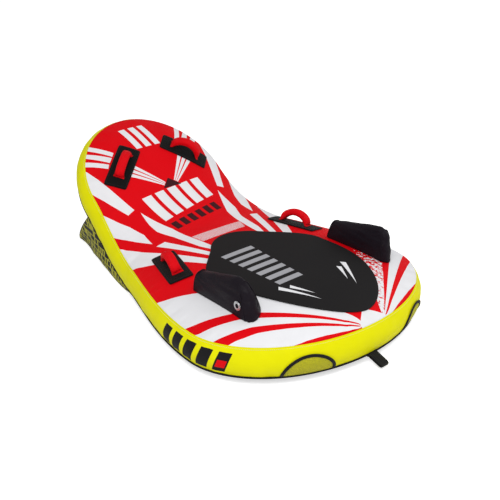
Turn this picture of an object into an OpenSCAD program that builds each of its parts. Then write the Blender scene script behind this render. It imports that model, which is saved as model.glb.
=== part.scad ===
// Towable lounge tube for one rider: an inflated deck that bends up into a backrest,
// in a sewn fabric cover, on a wedge-shaped riser. Millimetres.
// The origin is on the ground under the widest station of the deck, in its middle.
// +Z is up, +Y runs back towards the backrest, and the tow strap is at the -Y end.
// A point of the cover is given as [x, s, h]: x across, s along the spine from the widest
// station, and h above the deck plane. The function bend() carries it into space.

/* [Deck outline] */
// Half width of the deck at its widest station, at the seam
deck_half_w = 610; // [560:1:640]
// Length of the rounded nose ahead of the widest station
nose_len = 432; // [400:1:460]
// Half width of the backrest
back_half_w = 392; // [360:1:420]
// Length of the rounded head of the backrest
head_len = 423; // [400:1:450]
// Spine length from the widest station to the start of the head
arc_gap = 1085; // [1040:1:1130]

/* [Deck section] */
// Height of the deck plane above the ground
deck_h = 225; // [215:1:240]
// Crown of the top panel above the deck plane
crown = 32; // [20:1:40]
// Depth of the top seam under the deck plane
seam_drop = 47; // [40:1:55]
// Height of the bottom seam above the ground
belly = 40; // [30:1:50]
// Share of the half width over which the bottom is flat
flat_share = 0.7; // [0.6:0.01:0.75]
// Swell of the side band between its seams
band_swell = 26; // [15:1:35]
// Thickness of the cover fabric with its coating and seam tape
cloth_t = 3; // [2:0.5:4]

/* [Backrest] */
// Radius of the bend between deck and backrest, at the deck plane
bend_r = 558; // [500:1:620]
// Slope of the backrest
recline = 38; // [34:1:42]
// Spine station where the bend starts
bend_s = 618; // [590:1:650]

/* [Riser] */
// Spine station of the front edge of the riser
riser_front = 690; // [670:1:720]
// Spine station of the rear panel of the riser
riser_rear = 1163; // [1120:1:1180]
// Half width of the riser on the ground, front
riser_front_w = 438; // [400:1:445]
// Half width of the riser on the ground, rear
riser_rear_w = 296; // [270:1:320]
// Swell of the riser's sides
riser_swell = 14; // [5:1:20]
// Distance by which the rear panel's top leans forward of its foot
riser_lean = 81; // [60:1:95]

/* [Seat pad] */
// Half width of the seat pad
seat_half_w = 325; // [300:1:345]
// Length of the rounded front of the seat pad
seat_front = 478; // [450:1:485]
// Station of the widest part of the seat pad
seat_s = 110; // [100:1:120]
// Station of the rear end of the seat pad
seat_end = 508; // [495:1:530]
// Half width to which the seat pad tapers
seat_end_w = 85; // [70:1:110]
// Thickness of the seat pad
seat_t = 8; // [6:0.5:10]

/* [Handles] */
// Length of a knuckle pad
pad_len = 267; // [250:1:280]
// Width of a knuckle pad
pad_w = 114; // [100:1:125]
// Thickness of a knuckle pad
pad_t = 6; // [4:0.5:8]
// Width of the padded handle
grip_w = 37; // [34:1:40]
// Thickness of the padded handle
grip_t = 30; // [26:0.5:32]
// Distance between the two ends of a handle
grip_span = 132; // [120:1:140]
// Rise of the handle's arch over its ends
grip_rise = 34; // [30:1:38]
// Width of the handle's sewn ends
web_w = 50; // [40:1:52]
// Thickness of the handle's sewn ends
web_t = 2.5; // [2:0.5:3]

/* [Bolsters] */
// Distance of a bolster's middle from the centre line
bolster_x = 406; // [400:1:412]
// Half width of a bolster
bolster_half_w = 37; // [33:1:42]
// Height of a bolster at its rear
bolster_rear_h = 99; // [90:1:125]
// Height of a bolster at its front
bolster_front_h = 158; // [130:1:165]
// Station of the rear foot of a bolster
bolster_rear_s = 201; // [190:1:215]
// Station of the front foot of a bolster
bolster_front_s = -154; // [-170:1:-145]

/* [Tow strap] */
// Width of the tow webbing
tow_w = 50; // [40:1:52]
// Length of the tow loop
tow_len = 66; // [60:1:80]
// Thickness of the tow webbing
tow_t = 3; // [2.5:0.5:3.5]
// Gap inside the tow loop
tow_gap = 7; // [6:0.5:8]
// Droop of the tow loop
tow_droop = 18; // [8:1:18]

/* [Zip and valves] */
// Length of the rear zip
zip_len = 420; // [380:2:440]
// Radius of a valve's flange
valve_r = 33; // [28:1:36]

/* [Hidden] */
gap = 0.4;
bend_end = bend_s + bend_r * recline * PI / 180;
nose_n = 20;
side_n = 16;
head_n = 16;
rim_n = nose_n + 2 * side_n + head_n;
seat_arc_n = 16;
seat_side_n = 10;
seat_cap_n = 6;
seat_n = seat_arc_n + 2 * seat_side_n + 2 * seat_cap_n;

red = "#d81422";
yellow = "#dcd800";
black = "#222224";
steel = "#b9bcc0";

// Shape of the cover

function smooth(t) = t * t * (3 - 2 * t);

function half_w(s) =
    s < 0 ? deck_half_w * sqrt(max(0, 1 - pow(s / nose_len, 2))) :
    s > arc_gap ? back_half_w * sqrt(max(0, 1 - pow((s - arc_gap) / head_len, 2))) :
    deck_half_w + (back_half_w - deck_half_w) * smooth(s / arc_gap);

// 0 on the spine, 1 at the seam
function reach(x, s) =
    s < 0 ? norm([x / deck_half_w, s / nose_len]) :
    s > arc_gap ? norm([x / back_half_w, (s - arc_gap) / head_len]) :
    abs(x) / half_w(s);

function top_h(q) = crown - (crown + seam_drop) * pow(q, 3);

function low_h(q) = -deck_h + belly * pow(max(0, (q - flat_share) / (1 - flat_share)), 2);

function bend(p) =
    let (
        turn = min(max((p[1] - bend_s) / bend_r * 180 / PI, 0), recline),
        past = max(p[1] - bend_end, 0),
        arm = bend_r - p[2]
    )
    p[1] < bend_s ? [p[0], p[1], deck_h + p[2]] :
    [p[0],
     bend_s + arm * sin(turn) + past * cos(recline),
     deck_h + bend_r - arm * cos(turn) + past * sin(recline)];

// Depth of the ground under the deck plane, measured along the bent cover's own normal
function ground_h(s) =
    let (turn = min(max((s - bend_s) / bend_r * 180 / PI, 0), recline))
    bend_r - (bend_r + deck_h) / cos(turn) - max(s - bend_end, 0) * tan(recline);

function on_top(x, s, lift) = bend([x, s, top_h(reach(x, s)) + lift]);

// Outline of the cover, counted round from the -X side by way of the nose, at share q of its width
function rim(k, q = 1) =
    let (i = (k + rim_n) % rim_n, j = i - nose_n, m = j - side_n, n = m - head_n)
    j < 0 ? [q * deck_half_w * sin(180 * i / nose_n - 90), -q * nose_len * cos(180 * i / nose_n - 90)] :
    m < 0 ? [q * half_w(arc_gap * j / side_n), arc_gap * j / side_n] :
    n < 0 ? [q * back_half_w * sin(90 - 180 * m / head_n), arc_gap + q * head_len * cos(90 - 180 * m / head_n)] :
    [-q * half_w(arc_gap * (1 - n / side_n)), arc_gap * (1 - n / side_n)];

function rim_out(k) =
    let (t = rim(k + 1) - rim(k - 1))
    [t[1], -t[0]] / norm(t);

function ring_at(q, h) = [for (k = [0:rim_n - 1]) bend([each rim(k, q), h])];

function ring_out(out, h) = [for (k = [0:rim_n - 1]) bend([each (rim(k) + out * rim_out(k)), h])];

// Swell of the band, and its height, at share t from the top seam to the bottom seam
function band_out(t) = band_swell * 4 * t * (1 - t);

function band_h(t) =
    let (high = -seam_drop - cloth_t - gap, low = -deck_h + belly + cloth_t + gap)
    high + (low - high) * t;

// Meshes from rings of points: each ring runs counter-clockwise seen from its first side

function flip(faces) = [for (f = faces) [f[2], f[1], f[0]]];

function wall(n, a, b) = [
    for (k = [0:n - 1])
        let (l = (k + 1) % n)
        each [[a * n + k, b * n + k, b * n + l], [a * n + k, b * n + l, a * n + l]]
];

// Fills a ring whose points k and mirror - k face each other across the middle
function fill(n, a, mirror) = [
    for (i = [0:n / 2 - 1])
        let (
            k = (mirror / 2 + i) % n, l = (k + 1) % n,
            km = (mirror - k + 2 * n) % n, lm = (mirror - l + 2 * n) % n
        )
        each [
            if (km != k) [a * n + k, a * n + l, a * n + km],
            if (lm != l) [a * n + l, a * n + lm, a * n + km]
        ]
];

// Closes the end of a sheet, whose points j and n - 1 - j face each other
function ends(n, a) = [
    for (j = [0:n / 2 - 2])
        each [[a * n + j, a * n + j + 1, a * n + n - 2 - j], [a * n + j, a * n + n - 2 - j, a * n + n - 1 - j]]
];

function flat(lists) = [for (l = lists) each l];

// A closed body from rings, the first and last of them filled across
module body_of(rings, mirror) {
    n = len(rings[0]);
    last = len(rings) - 1;
    sides = [for (r = [0:last - 1]) each wall(n, r, r + 1)];
    polyhedron(flat(rings), flip(concat(fill(n, 0, mirror), sides, flip(fill(n, last, mirror)))));
}

// A closed band from rings, the last joined to the first
module hoop_of(rings) {
    n = len(rings[0]);
    m = len(rings);
    polyhedron(flat(rings), flip([for (r = [0:m - 1]) each wall(n, r, (r + 1) % m)]));
}

// A sheet from a grid of outer points and the matching grid of inner points
module sheet_of(outer, inner) {
    m = len(outer);
    hoop = [
        for (i = [0:m - 1]) concat(outer[i], [for (j = [len(inner[i]) - 1:-1:0]) inner[i][j]])
    ];
    n = len(hoop[0]);
    sides = [for (r = [0:m - 2]) each wall(n, r, r + 1)];
    polyhedron(flat(hoop), flip(concat(ends(n, 0), sides, flip(ends(n, m - 1)))));
}

module on_side(side) {
    if (side < 0) mirror([1, 0, 0]) children();
    else children();
}

// Frame at o, with local X along e and local Z along n
function unit(v) = v / norm(v);

function frame(o, e, n) =
    let (x = unit(e), z = unit(n - (n * x) * x), y = cross(z, x))
    [[x[0], y[0], z[0], o[0]], [x[1], y[1], z[1], o[1]], [x[2], y[2], z[2], o[2]], [0, 0, 0, 1]];

// Station of the bent cover: local X across, local Y along the cover's normal, local -Z backwards
module at_station(s) {
    turn = min(max((s - bend_s) / bend_r * 180 / PI, 0), recline);
    multmatrix(frame(bend([0, s, 0]), [1, 0, 0], [0, -cos(turn), -sin(turn)])) children();
}

// Cover

top_shares = [0.06, 0.35, 0.6, 0.78, 0.9, 1];

module top_panel() {
    last = len(top_shares) - 1;
    outer = [for (q = top_shares) ring_at(q, top_h(q))];
    inner = [for (i = [last:-1:0]) ring_at(top_shares[i], top_h(top_shares[i]) - cloth_t)];
    color(red) body_of(concat(outer, inner), nose_n);
}

band_n = 5;

module side_band() {
    outer = [for (i = [0:band_n]) ring_out(band_out(i / band_n), band_h(i / band_n))];
    inner = [for (i = [band_n:-1:0]) ring_out(band_out(i / band_n) - cloth_t, band_h(i / band_n))];
    color(yellow) hoop_of(concat(outer, inner));
}

low_n = 12;
low_edge = 5;
split_s = riser_front;

function low_row(s, lift) = [
    for (i = [0:low_n])
        let (x = (half_w(s) - low_edge) * (2 * i / low_n - 1))
        bend([x, s, low_h(reach(x, s)) + lift])
];

module low_sheet(stations) {
    sheet_of([for (s = stations) low_row(s, 0)], [for (s = stations) low_row(s, cloth_t)]);
}

module deck_bottom_panel() {
    nose = [for (a = [9:9:90]) -nose_len * cos(a)];
    color(black) low_sheet(concat(nose, [for (i = [1:5]) split_s * i / 5]));
}

module back_bottom_panel() {
    start = split_s + gap;
    bent = [for (i = [0:5]) start + (arc_gap - start) * i / 5];
    head = [for (a = [13:13:78]) arc_gap + head_len * sin(a)];
    color(black) difference() {
        low_sheet(concat(bent, head));
        on_back(main_valve_s) translate([0, 0, -10]) cylinder(r = valve_hole_r, h = 20, $fn = 64);
    }
}

binding_w = 6;

module bottom_binding() {
    h = -deck_h + belly;
    color(black) hoop_of([
        ring_out(gap + binding_w / 2, h + binding_w / 2),
        ring_out(gap + binding_w, h),
        ring_out(gap + binding_w / 2, h - binding_w / 2),
        ring_out(gap, h)
    ]);
}

// Air chambers

module main_bladder() {
    inset = cloth_t + 1;
    seam_in = 10;
    lift = 5;
    top = [for (i = [0:len(top_shares) - 2]) ring_at(top_shares[i], top_h(top_shares[i]) - inset)];
    high = ring_out(-seam_in, top_h(1) - inset - 4);
    side = [for (i = [1:band_n - 1]) ring_out(band_out(i / band_n) - inset, band_h(i / band_n))];
    low = ring_out(-seam_in, low_h(1) + inset + lift);
    under = [for (q = [0.86, 0.7, 0.35, 0.06]) ring_at(q, low_h(q) + inset + lift + (q > flat_share ? lift : 0))];
    color("#4a4d52") body_of(concat(top, [high], side, [low], under), nose_n);
}

// Half width of the riser on the ground
function ground_w(s) =
    let (t = (s - riser_front) / (riser_rear - riser_front))
    riser_front_w + (riser_rear_w - riser_front_w) * smooth(t);

riser_top_h = -deck_h + belly - 5;
riser_side_n = 4;

// Station of the riser's top edge above the foot at station s
function lean_s(s) = s - riser_lean * (s - riser_front) / (riser_rear - riser_front);

// Station at height h of the leaning row over the foot at station s
function row_s(s, h) = s - (s - lean_s(s)) * (h - ground_h(s)) / (riser_top_h - ground_h(s));

// Outer side of the riser over the foot at station s, at share v from its top edge to the ground
function riser_side(s, v, inset = 0) =
    let (
        top_x = half_w(lean_s(s)) - 2, low_x = ground_w(s), tall = riser_top_h - ground_h(s),
        swell = riser_swell * min(1, tall / 150) * 4 * v * (1 - v),
        h = riser_top_h - tall * v + inset * v
    )
    [top_x + (low_x - top_x) * v + swell - inset, row_s(s, h), h];

function riser_row(s, inset) = [
    for (i = [0:riser_side_n]) let (p = riser_side(s, i / riser_side_n, inset)) bend([-p[0], p[1], p[2]]),
    for (u = [-0.5, 0, 0.5]) let (h = ground_h(s) + inset) bend([u * ground_w(s), row_s(s, h), h]),
    for (i = [riser_side_n:-1:0]) bend(riser_side(s, i / riser_side_n, inset))
];

riser_n = 8;

module riser_cover() {
    stations = [for (i = [0:riser_n]) riser_front + (riser_rear - riser_front) * i / riser_n];
    color("#8a8a1c") sheet_of([for (s = stations) riser_row(s, 0)], [for (s = stations) riser_row(s, cloth_t)]);
}

zip_up = 252;
riser_valve_up = 122;
valve_neck_r = 21;
valve_hole_r = valve_neck_r + 1;

rear_foot = ground_h(riser_rear);
rear_tilt = atan2(riser_lean, riser_top_h - rear_foot);

// Plane of the riser's rear panel: local X across, local Y up the panel from its foot, local -Z outwards
module at_rear() {
    at_station(riser_rear) translate([0, rear_foot, 0]) rotate([rear_tilt, 0, 0]) children();
}

// Outer face of the riser's rear panel at height up it: local Y down the panel, local Z outwards
module on_rear(up) {
    at_rear() translate([0, up, -gap - cloth_t]) rotate([180, 0, 0]) children();
}

function up_rear(h) = (h - rear_foot) / cos(rear_tilt);

module riser_rear_panel() {
    side = [
        for (i = [0:riser_side_n])
            let (p = riser_side(riser_rear, i / riser_side_n))
            [p[0], up_rear(p[2])]
    ];
    top_s = lean_s(riser_rear);
    top = [for (u = [-1:0.125:1]) let (x = u * (half_w(top_s) - 4)) [x, up_rear(low_h(reach(x, top_s)) - 2)]];
    edge = concat(
        top,
        side,
        [for (i = [riser_side_n:-1:0]) [-side[i][0], side[i][1]]]
    );
    color(black) difference() {
        at_rear() translate([0, 0, -gap - cloth_t]) linear_extrude(cloth_t) polygon(edge);
        on_rear(zip_up) translate([-zip_len / 2, -2.4, -10]) cube([zip_len, 4.8, 20]);
        on_rear(riser_valve_up) translate([0, 0, -10]) cylinder(r = valve_hole_r, h = 20, $fn = 64);
    }
}

riser_columns = [-1, -0.86, -0.7, -0.35, 0, 0.35, 0.7, 0.86, 1];
riser_sag = 3;

module riser_bladder() {
    inset = cloth_t + 5;
    front = riser_front + 85;
    rear = riser_rear - 12;
    stations = [for (i = [0:6]) front + (rear - front) * i / 6];
    roof = [
        for (s = stations) [
            for (u = riser_columns)
                let (
                    x = u * (half_w(lean_s(s)) - 14),
                    h = low_h(reach(x, lean_s(s))) - inset - riser_sag * (1 - u * u)
                )
                bend([x, row_s(s, h), h])
        ]
    ];
    floor = [
        for (s = stations) [
            for (i = [1:riser_side_n])
                let (p = riser_side(s, i / riser_side_n, inset))
                bend([-p[0], p[1], p[2]]),
            let (h = ground_h(s) + inset + riser_sag) bend([0, row_s(s, h), h]),
            for (i = [riser_side_n:-1:1]) bend(riser_side(s, i / riser_side_n, inset))
        ]
    ];
    color("#4a4d52") sheet_of(floor, roof);
}

// Seat pad

seat_taper_s = 115;
seat_taper_len = 275;

function seat_w(s) =
    let (t = min(max((s - seat_s - seat_taper_s) / seat_taper_len, 0), 1))
    seat_half_w + (seat_end_w - seat_half_w) * smooth(t);

seat_cap = 68;

function seat_half(i) =
    let (j = i - seat_arc_n / 2, m = j - seat_side_n, a = 90 * m / seat_cap_n)
    j <= 0 ? [seat_half_w * sin(180 * i / seat_arc_n), seat_s - seat_front * cos(180 * i / seat_arc_n)] :
    m <= 0 ? let (s = seat_s + (seat_end - seat_cap - seat_s) * j / seat_side_n) [seat_w(s), s] :
    let (s = seat_end - seat_cap + seat_cap * sin(a)) [seat_w(s) * cos(a), s];

function seat_rim(k) =
    let (p = seat_half(k <= seat_n / 2 ? k : seat_n - k))
    k <= seat_n / 2 ? p : [-p[0], p[1]];

function seat_ring(q, lift) = [
    for (k = [0:seat_n - 1])
        let (p = seat_rim(k), x = p[0] * q, s = seat_s + (p[1] - seat_s) * q)
        on_top(x, s, lift)
];

module seat_pad() {
    base = 1;
    top = base + seat_t;
    shares = [0.08, 0.3, 0.5, 0.65, 0.8, 0.9, 0.975];
    color(black) body_of(concat(
        [for (q = shares) seat_ring(q, top)],
        [seat_ring(0.995, top - 2.5), seat_ring(1, base + 2)],
        [for (i = [len(shares) - 1:-1:0]) seat_ring(shares[i], base)]
    ), 0);
}

// Handles: place holds [x, s, turn] of a knuckle pad on the +X side

upper_place = [193, 1195, 45];
lower_place = [381, 438, 16];

function pad_at(place, a, b) = [
    place[0] - a * sin(place[2]) + b * cos(place[2]),
    place[1] + a * cos(place[2]) + b * sin(place[2])
];

function on_pad(place, a, b, lift) =
    let (p = pad_at(place, a, b))
    on_top(p[0], p[1], lift);

function pad_row(place, a, low_b, high_b, steps, lift) = [
    for (j = [steps:-1:0]) on_pad(place, a, low_b + (high_b - low_b) * j / steps, lift)
];

pad_base = 1;

module pad_sheet(place, a0, a1, width, base, t, rows, cols) {
    sheet_of(
        [for (i = [0:rows]) pad_row(place, a0 + (a1 - a0) * i / rows, -width / 2, width / 2, cols, base + t)],
        [for (i = [0:rows]) pad_row(place, a0 + (a1 - a0) * i / rows, -width / 2, width / 2, cols, base)]
    );
}

module knuckle_pad(side, place) {
    color(black) on_side(side) pad_sheet(place, -pad_len / 2, pad_len / 2, pad_w, pad_base, pad_t, 8, 4);
}

tail_lift = pad_base + pad_t + gap;

module handle_tails(side, place) {
    color(red) on_side(side) for (end = [-1, 1])
        pad_sheet(place, end * grip_span / 2 - 12 + 22 * end, end * grip_span / 2 + 12 + 22 * end, web_w,
            tail_lift, web_t, 2, 2);
}

hinge_h = 19;

// Handle frame: origin midway between the handle's ends, local X along them, local Z up from the pad
function handle_frame(place) =
    let (
        rise = tail_lift + web_t + gap + hinge_h,
        a = on_pad(place, -grip_span / 2, 0, 0), b = on_pad(place, grip_span / 2, 0, 0),
        across = on_pad(place, 0, 20, 0) - on_pad(place, 0, -20, 0),
        n = unit(cross(across, b - a))
    )
    frame((a + b) / 2 + rise * n, b - a, n);

// Section of the padded handle, inset from its skin
module grip_section(inset) {
    r = grip_t / 2 - inset;
    reach_y = (grip_w - grip_t) / 2;
    square([2 * r, 2 * reach_y], center = true);
    for (side = [-1, 1]) translate([0, side * reach_y]) circle(r, $fn = 48);
}

arch_r = (pow(grip_span / 2, 2) + pow(grip_rise, 2)) / (2 * grip_rise);
arch_half = asin(grip_span / 2 / arch_r);

module arch(inset) {
    foot_r = grip_t / 2 - inset - 0.2;
    reach_y = (grip_w - grip_t) / 2;
    translate([0, 0, grip_rise - arch_r]) rotate([90, 0, 0]) rotate(90 - arch_half)
        rotate_extrude(angle = 2 * arch_half, $fn = 128) translate([arch_r, 0]) grip_section(inset);
    for (end = [-1, 1]) translate([end * grip_span / 2, 0, 0]) {
        translate([0, reach_y, 0]) rotate([90, 0, 0]) cylinder(r = foot_r, h = 2 * reach_y, $fn = 48);
        for (side = [-1, 1]) translate([0, side * reach_y, 0]) sphere(foot_r, $fn = 48);
    }
}

sleeve_t = 2.5;

module handle_sleeve(side, place) {
    color(red) on_side(side) multmatrix(handle_frame(place)) difference() {
        arch(0);
        arch(sleeve_t);
    }
}

module handle_core(side, place) {
    color("#3a3a3c") on_side(side) multmatrix(handle_frame(place)) arch(sleeve_t + gap);
}

// Bolsters: v runs from the rear end to the front end, the section runs round from the inner foot

bolster_over_n = 14;
bolster_base_n = 6;
bolster_ring_n = bolster_over_n + bolster_base_n;
bolster_base = 1;

function bolster_section(a) =
    let (c = -cos(a), s = sin(a), round = 0.58)
    [sign(c) * pow(abs(c), round), pow(max(s, 0), round)];

bolster_profile = [
    for (i = [0:bolster_over_n]) bolster_section(180 * i / bolster_over_n),
    for (i = [1:bolster_base_n - 1]) [1 - 2 * i / bolster_base_n, 0]
];

bolster_rear_lean = 32;
bolster_front_lean = 16;

// A point of the bolster's skin, inset from its sides and pushed out past its ends by over
function bolster_pt(v, p, inset, over = 0) =
    let (
        tall = bolster_rear_h + (bolster_front_h - bolster_rear_h) * v,
        x = bolster_x + (bolster_half_w - inset) * p[0],
        up = inset + (tall - 2 * inset) * p[1],
        share = up / tall,
        rear = bolster_rear_s - bolster_rear_lean * share,
        front = bolster_front_s + bolster_front_lean * share * share,
        s = rear + (front - rear) * v + over
    )
    on_top(x, s, 0) + [0, 0, bolster_base + up];

function bolster_ring(v, inset, over = 0) = [for (p = bolster_profile) bolster_pt(v, p, inset, over)];

bolster_n = 7;
cap_gap = 0.8;

module bolster_sleeve(side) {
    outer = [for (i = [0:bolster_n]) bolster_ring(i / bolster_n, 0)];
    inner = [for (i = [bolster_n:-1:0]) bolster_ring(i / bolster_n, cloth_t)];
    color(black) on_side(side) hoop_of(concat(outer, inner));
}

module bolster_front_cap(side) {
    color(black) on_side(side) body_of([
        bolster_ring(1, 0, -cap_gap), bolster_ring(1, 0, -cap_gap - 4),
        bolster_ring(1, 8, -cap_gap - 9), bolster_ring(1, 22, -cap_gap - 12)
    ], bolster_over_n);
}

module bolster_rear_cap(side) {
    color(black) on_side(side) body_of([
        bolster_ring(0, 22, cap_gap + 12), bolster_ring(0, 8, cap_gap + 9),
        bolster_ring(0, 0, cap_gap + 4), bolster_ring(0, 0, cap_gap)
    ], bolster_over_n);
}

module bolster_core(side) {
    color("#4a4d52") on_side(side) body_of([
        for (i = [0:5]) bolster_ring(i / 5, cloth_t + 2, i == 0 ? -3 : i == 5 ? 3 : 0)
    ], bolster_over_n);
}

eyelet_r = 20;
eyelet_hole_r = 10;
eyelet_v = 0.85;
eyelet_angle = 169;

module bolster_eyelet(side) {
    o = bolster_pt(eyelet_v, bolster_section(eyelet_angle), 0);
    along = bolster_pt(eyelet_v + 0.05, bolster_section(eyelet_angle), 0) - o;
    up = bolster_pt(eyelet_v, bolster_section(eyelet_angle - 4), 0) - bolster_pt(eyelet_v, bolster_section(eyelet_angle + 4), 0);
    n = unit(cross(up, along));
    color(steel) on_side(side) multmatrix(frame(o + 1.2 * n, along, n)) rotate_extrude($fn = 64) {
        translate([eyelet_hole_r, 0]) square([eyelet_r - eyelet_hole_r - 2, 2.4]);
        translate([eyelet_r - 2, 0]) square([2, 1.4]);
    }
}

// Drain vents in the band, half-moons on the lower seam

vent_angle = 30.5;
vent_half = 11.2;
vent_top = 0.3;

// A point of the band's skin at nose angle a and share t down the band
function on_band(a, t, lift) =
    let (
        p = [deck_half_w * sin(a), -nose_len * cos(a)],
        n = unit([sin(a) / deck_half_w, -cos(a) / nose_len])
    )
    bend([each (p + (band_out(t) + lift) * n), band_h(t)]);

function vent_t(a, half, top) = 1 - (1 - top) * sqrt(max(0, 1 - pow((a - vent_angle) / half, 2)));

vent_n = 14;

module drain_mesh(side) {
    half = vent_half - 0.9;
    top = vent_top + 0.09;
    rows = [for (i = [0:vent_n]) vent_angle + half * 0.97 * (1 - 2 * i / vent_n)];
    color("#b9b800") on_side(side) sheet_of(
        [for (a = rows) [for (j = [4:-1:0]) on_band(a, 0.97 + (vent_t(a, half, top) - 0.97) * j / 4, 1.8)]],
        [for (a = rows) [for (j = [4:-1:0]) on_band(a, 0.97 + (vent_t(a, half, top) - 0.97) * j / 4, 0.6)]]
    );
}

binding_r = 4;

module drain_binding(side) {
    angles = [for (i = [0:vent_n]) vent_angle + vent_half * cos(180 * i / vent_n)];
    rings = [
        for (i = [0:vent_n])
            let (
                a = angles[i], t = min(0.97, vent_t(a, vent_half, vent_top)),
                o = on_band(a, t, binding_r + 0.8),
                out = unit(on_band(a, t, 10) - on_band(a, t, 0)),
                b = angles[min(i + 1, vent_n)], c = angles[max(i - 1, 0)],
                ahead = unit(on_band(b, min(0.97, vent_t(b, vent_half, vent_top)), 0)
                    - on_band(c, min(0.97, vent_t(c, vent_half, vent_top)), 0)),
                across = unit(cross(out, ahead))
            )
            [for (j = [0:7]) o + binding_r * (cos(45 * j) * out + sin(45 * j) * across)]
    ];
    color(black) on_side(side) body_of(rings, 8);
}

// Tow strap

tow_y = -nose_len - 14;
tow_z = 38;
tow_r = tow_gap / 2 + tow_t;

module tow_anchor() {
    path = [[-354, 5.5], [-390, 17], [-410, 26], [-424, 32.5], [-439.4, 33.5]];
    color(black) rotate([90, 0, 90]) translate([0, 0, -tow_w / 2]) linear_extrude(tow_w)
        polygon(concat(path, [for (i = [len(path) - 1:-1:0]) path[i] - [0, tow_t]]));
}

module slot(r) {
    circle(r, $fn = 48);
    translate([-tow_len, 0]) circle(r, $fn = 48);
    translate([-tow_len, -r]) square([tow_len, 2 * r]);
}

module tow_strap() {
    color(black) translate([-tow_w / 2, tow_y, tow_z]) rotate([90, 0, 90]) rotate([0, 0, tow_droop])
        linear_extrude(tow_w) difference() {
            slot(tow_r);
            slot(tow_gap / 2);
        }
}

// Rear zip

tape_w = 14;
tape_t = 1.2;
coil_r = 1.9;
coil_z = 2.2;

module zip_tapes() {
    color(black) on_rear(zip_up) for (side = [0, 1]) mirror([0, side, 0])
        translate([-zip_len / 2, 2.6, 0.2]) cube([zip_len, tape_w, tape_t]);
}

module zip_coil() {
    color("#3c3c3e") on_rear(zip_up) translate([-zip_len / 2, 0, coil_z]) rotate([0, 90, 0])
        cylinder(r = coil_r, h = zip_len, $fn = 24);
}

slider_x = zip_len / 2 - 14;
bail_z = 9;

module zip_slider() {
    color(steel) on_rear(zip_up) translate([slider_x, 0, 0]) {
        difference() {
            translate([-7, -5.5, 1.8]) cube([14, 11, 4.6]);
            translate([-8, 0, coil_z]) rotate([0, 90, 0]) cylinder(r = coil_r + 0.4, h = 16, $fn = 32);
        }
        for (side = [-1, 1]) translate([-1.2, side * 3.8 - 0.7, 6]) cube([2.4, 1.4, 4.4]);
        translate([0, -4.5, bail_z]) rotate([-90, 0, 0]) cylinder(r = 1, h = 9, $fn = 32);
    }
}

module zip_pull() {
    color(steel) on_rear(zip_up) translate([slider_x, 0, bail_z]) difference() {
        union() {
            translate([0, -2, 0]) rotate([-90, 0, 0]) cylinder(r = 2.2, h = 4, $fn = 32);
            translate([-8, -2, -0.8]) cube([7, 4, 1.6]);
            translate([-34, -4.5, -0.8]) cube([28, 9, 1.6]);
        }
        translate([0, -3, 0]) rotate([-90, 0, 0]) cylinder(r = 1.3, h = 6, $fn = 32);
        translate([-30, 0, -2]) cylinder(r = 2, h = 4, $fn = 32);
    }
}

// Screw valves

main_valve_s = 1325;
flange_t = 2;
neck_h = 8;
bore_r = 16;

// Outer face of the backrest's rear: local Z outwards
module on_back(s) {
    at_station(s) translate([0, -deck_h, 0]) rotate([90, 0, 0]) children();
}

module valve_base() {
    depth = cloth_t + gap;
    color(black) difference() {
        union() {
            translate([0, 0, -depth - flange_t]) cylinder(r = valve_r, h = flange_t, $fn = 72);
            translate([0, 0, -depth - flange_t]) cylinder(r = valve_neck_r, h = depth + flange_t + neck_h, $fn = 64);
        }
        translate([0, 0, -depth - flange_t - 1]) cylinder(r = bore_r, h = depth + flange_t + neck_h + 2, $fn = 64);
    }
}

module valve_cap() {
    knob_r = valve_neck_r + 3;
    color("#2c2c30") {
        difference() {
            translate([0, 0, neck_h + gap]) cylinder(r = knob_r, h = 6, $fn = 64);
            for (i = [0:11]) rotate([0, 0, 30 * i]) translate([knob_r + 1, 0, neck_h])
                cylinder(r = 2.2, h = 8, $fn = 24);
        }
        translate([0, 0, neck_h + gap - 8]) cylinder(r = bore_r - 0.4, h = 9, $fn = 64);
        translate([-knob_r + 7, -3, neck_h + gap + 5]) cube([2 * knob_r - 14, 6, 6]);
    }
}

module main_valve_base() { on_back(main_valve_s) valve_base(); }
module main_valve_cap() { on_back(main_valve_s) valve_cap(); }
module riser_valve_base() { on_rear(riser_valve_up) valve_base(); }
module riser_valve_cap() { on_rear(riser_valve_up) valve_cap(); }

top_panel();
side_band();
deck_bottom_panel();
back_bottom_panel();
bottom_binding();
main_bladder();
riser_cover();
riser_rear_panel();
riser_bladder();
seat_pad();
knuckle_pad(1, upper_place);  // left_upper_knuckle_pad
knuckle_pad(-1, upper_place);  // right_upper_knuckle_pad
knuckle_pad(1, lower_place);  // left_lower_knuckle_pad
knuckle_pad(-1, lower_place);  // right_lower_knuckle_pad
handle_sleeve(1, upper_place);  // left_upper_handle_sleeve
handle_sleeve(-1, upper_place);  // right_upper_handle_sleeve
handle_sleeve(1, lower_place);  // left_lower_handle_sleeve
handle_sleeve(-1, lower_place);  // right_lower_handle_sleeve
handle_core(1, upper_place);  // left_upper_handle_core
handle_core(-1, upper_place);  // right_upper_handle_core
handle_core(1, lower_place);  // left_lower_handle_core
handle_core(-1, lower_place);  // right_lower_handle_core
handle_tails(1, upper_place);  // left_upper_handle_tails
handle_tails(-1, upper_place);  // right_upper_handle_tails
handle_tails(1, lower_place);  // left_lower_handle_tails
handle_tails(-1, lower_place);  // right_lower_handle_tails
bolster_sleeve(1);  // left_bolster_sleeve
bolster_sleeve(-1);  // right_bolster_sleeve
bolster_front_cap(1);  // left_bolster_front_cap
bolster_front_cap(-1);  // right_bolster_front_cap
bolster_rear_cap(1);  // left_bolster_rear_cap
bolster_rear_cap(-1);  // right_bolster_rear_cap
bolster_core(1);  // left_bolster_core
bolster_core(-1);  // right_bolster_core
bolster_eyelet(1);  // left_bolster_eyelet
bolster_eyelet(-1);  // right_bolster_eyelet
drain_mesh(1);  // left_drain_mesh
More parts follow.
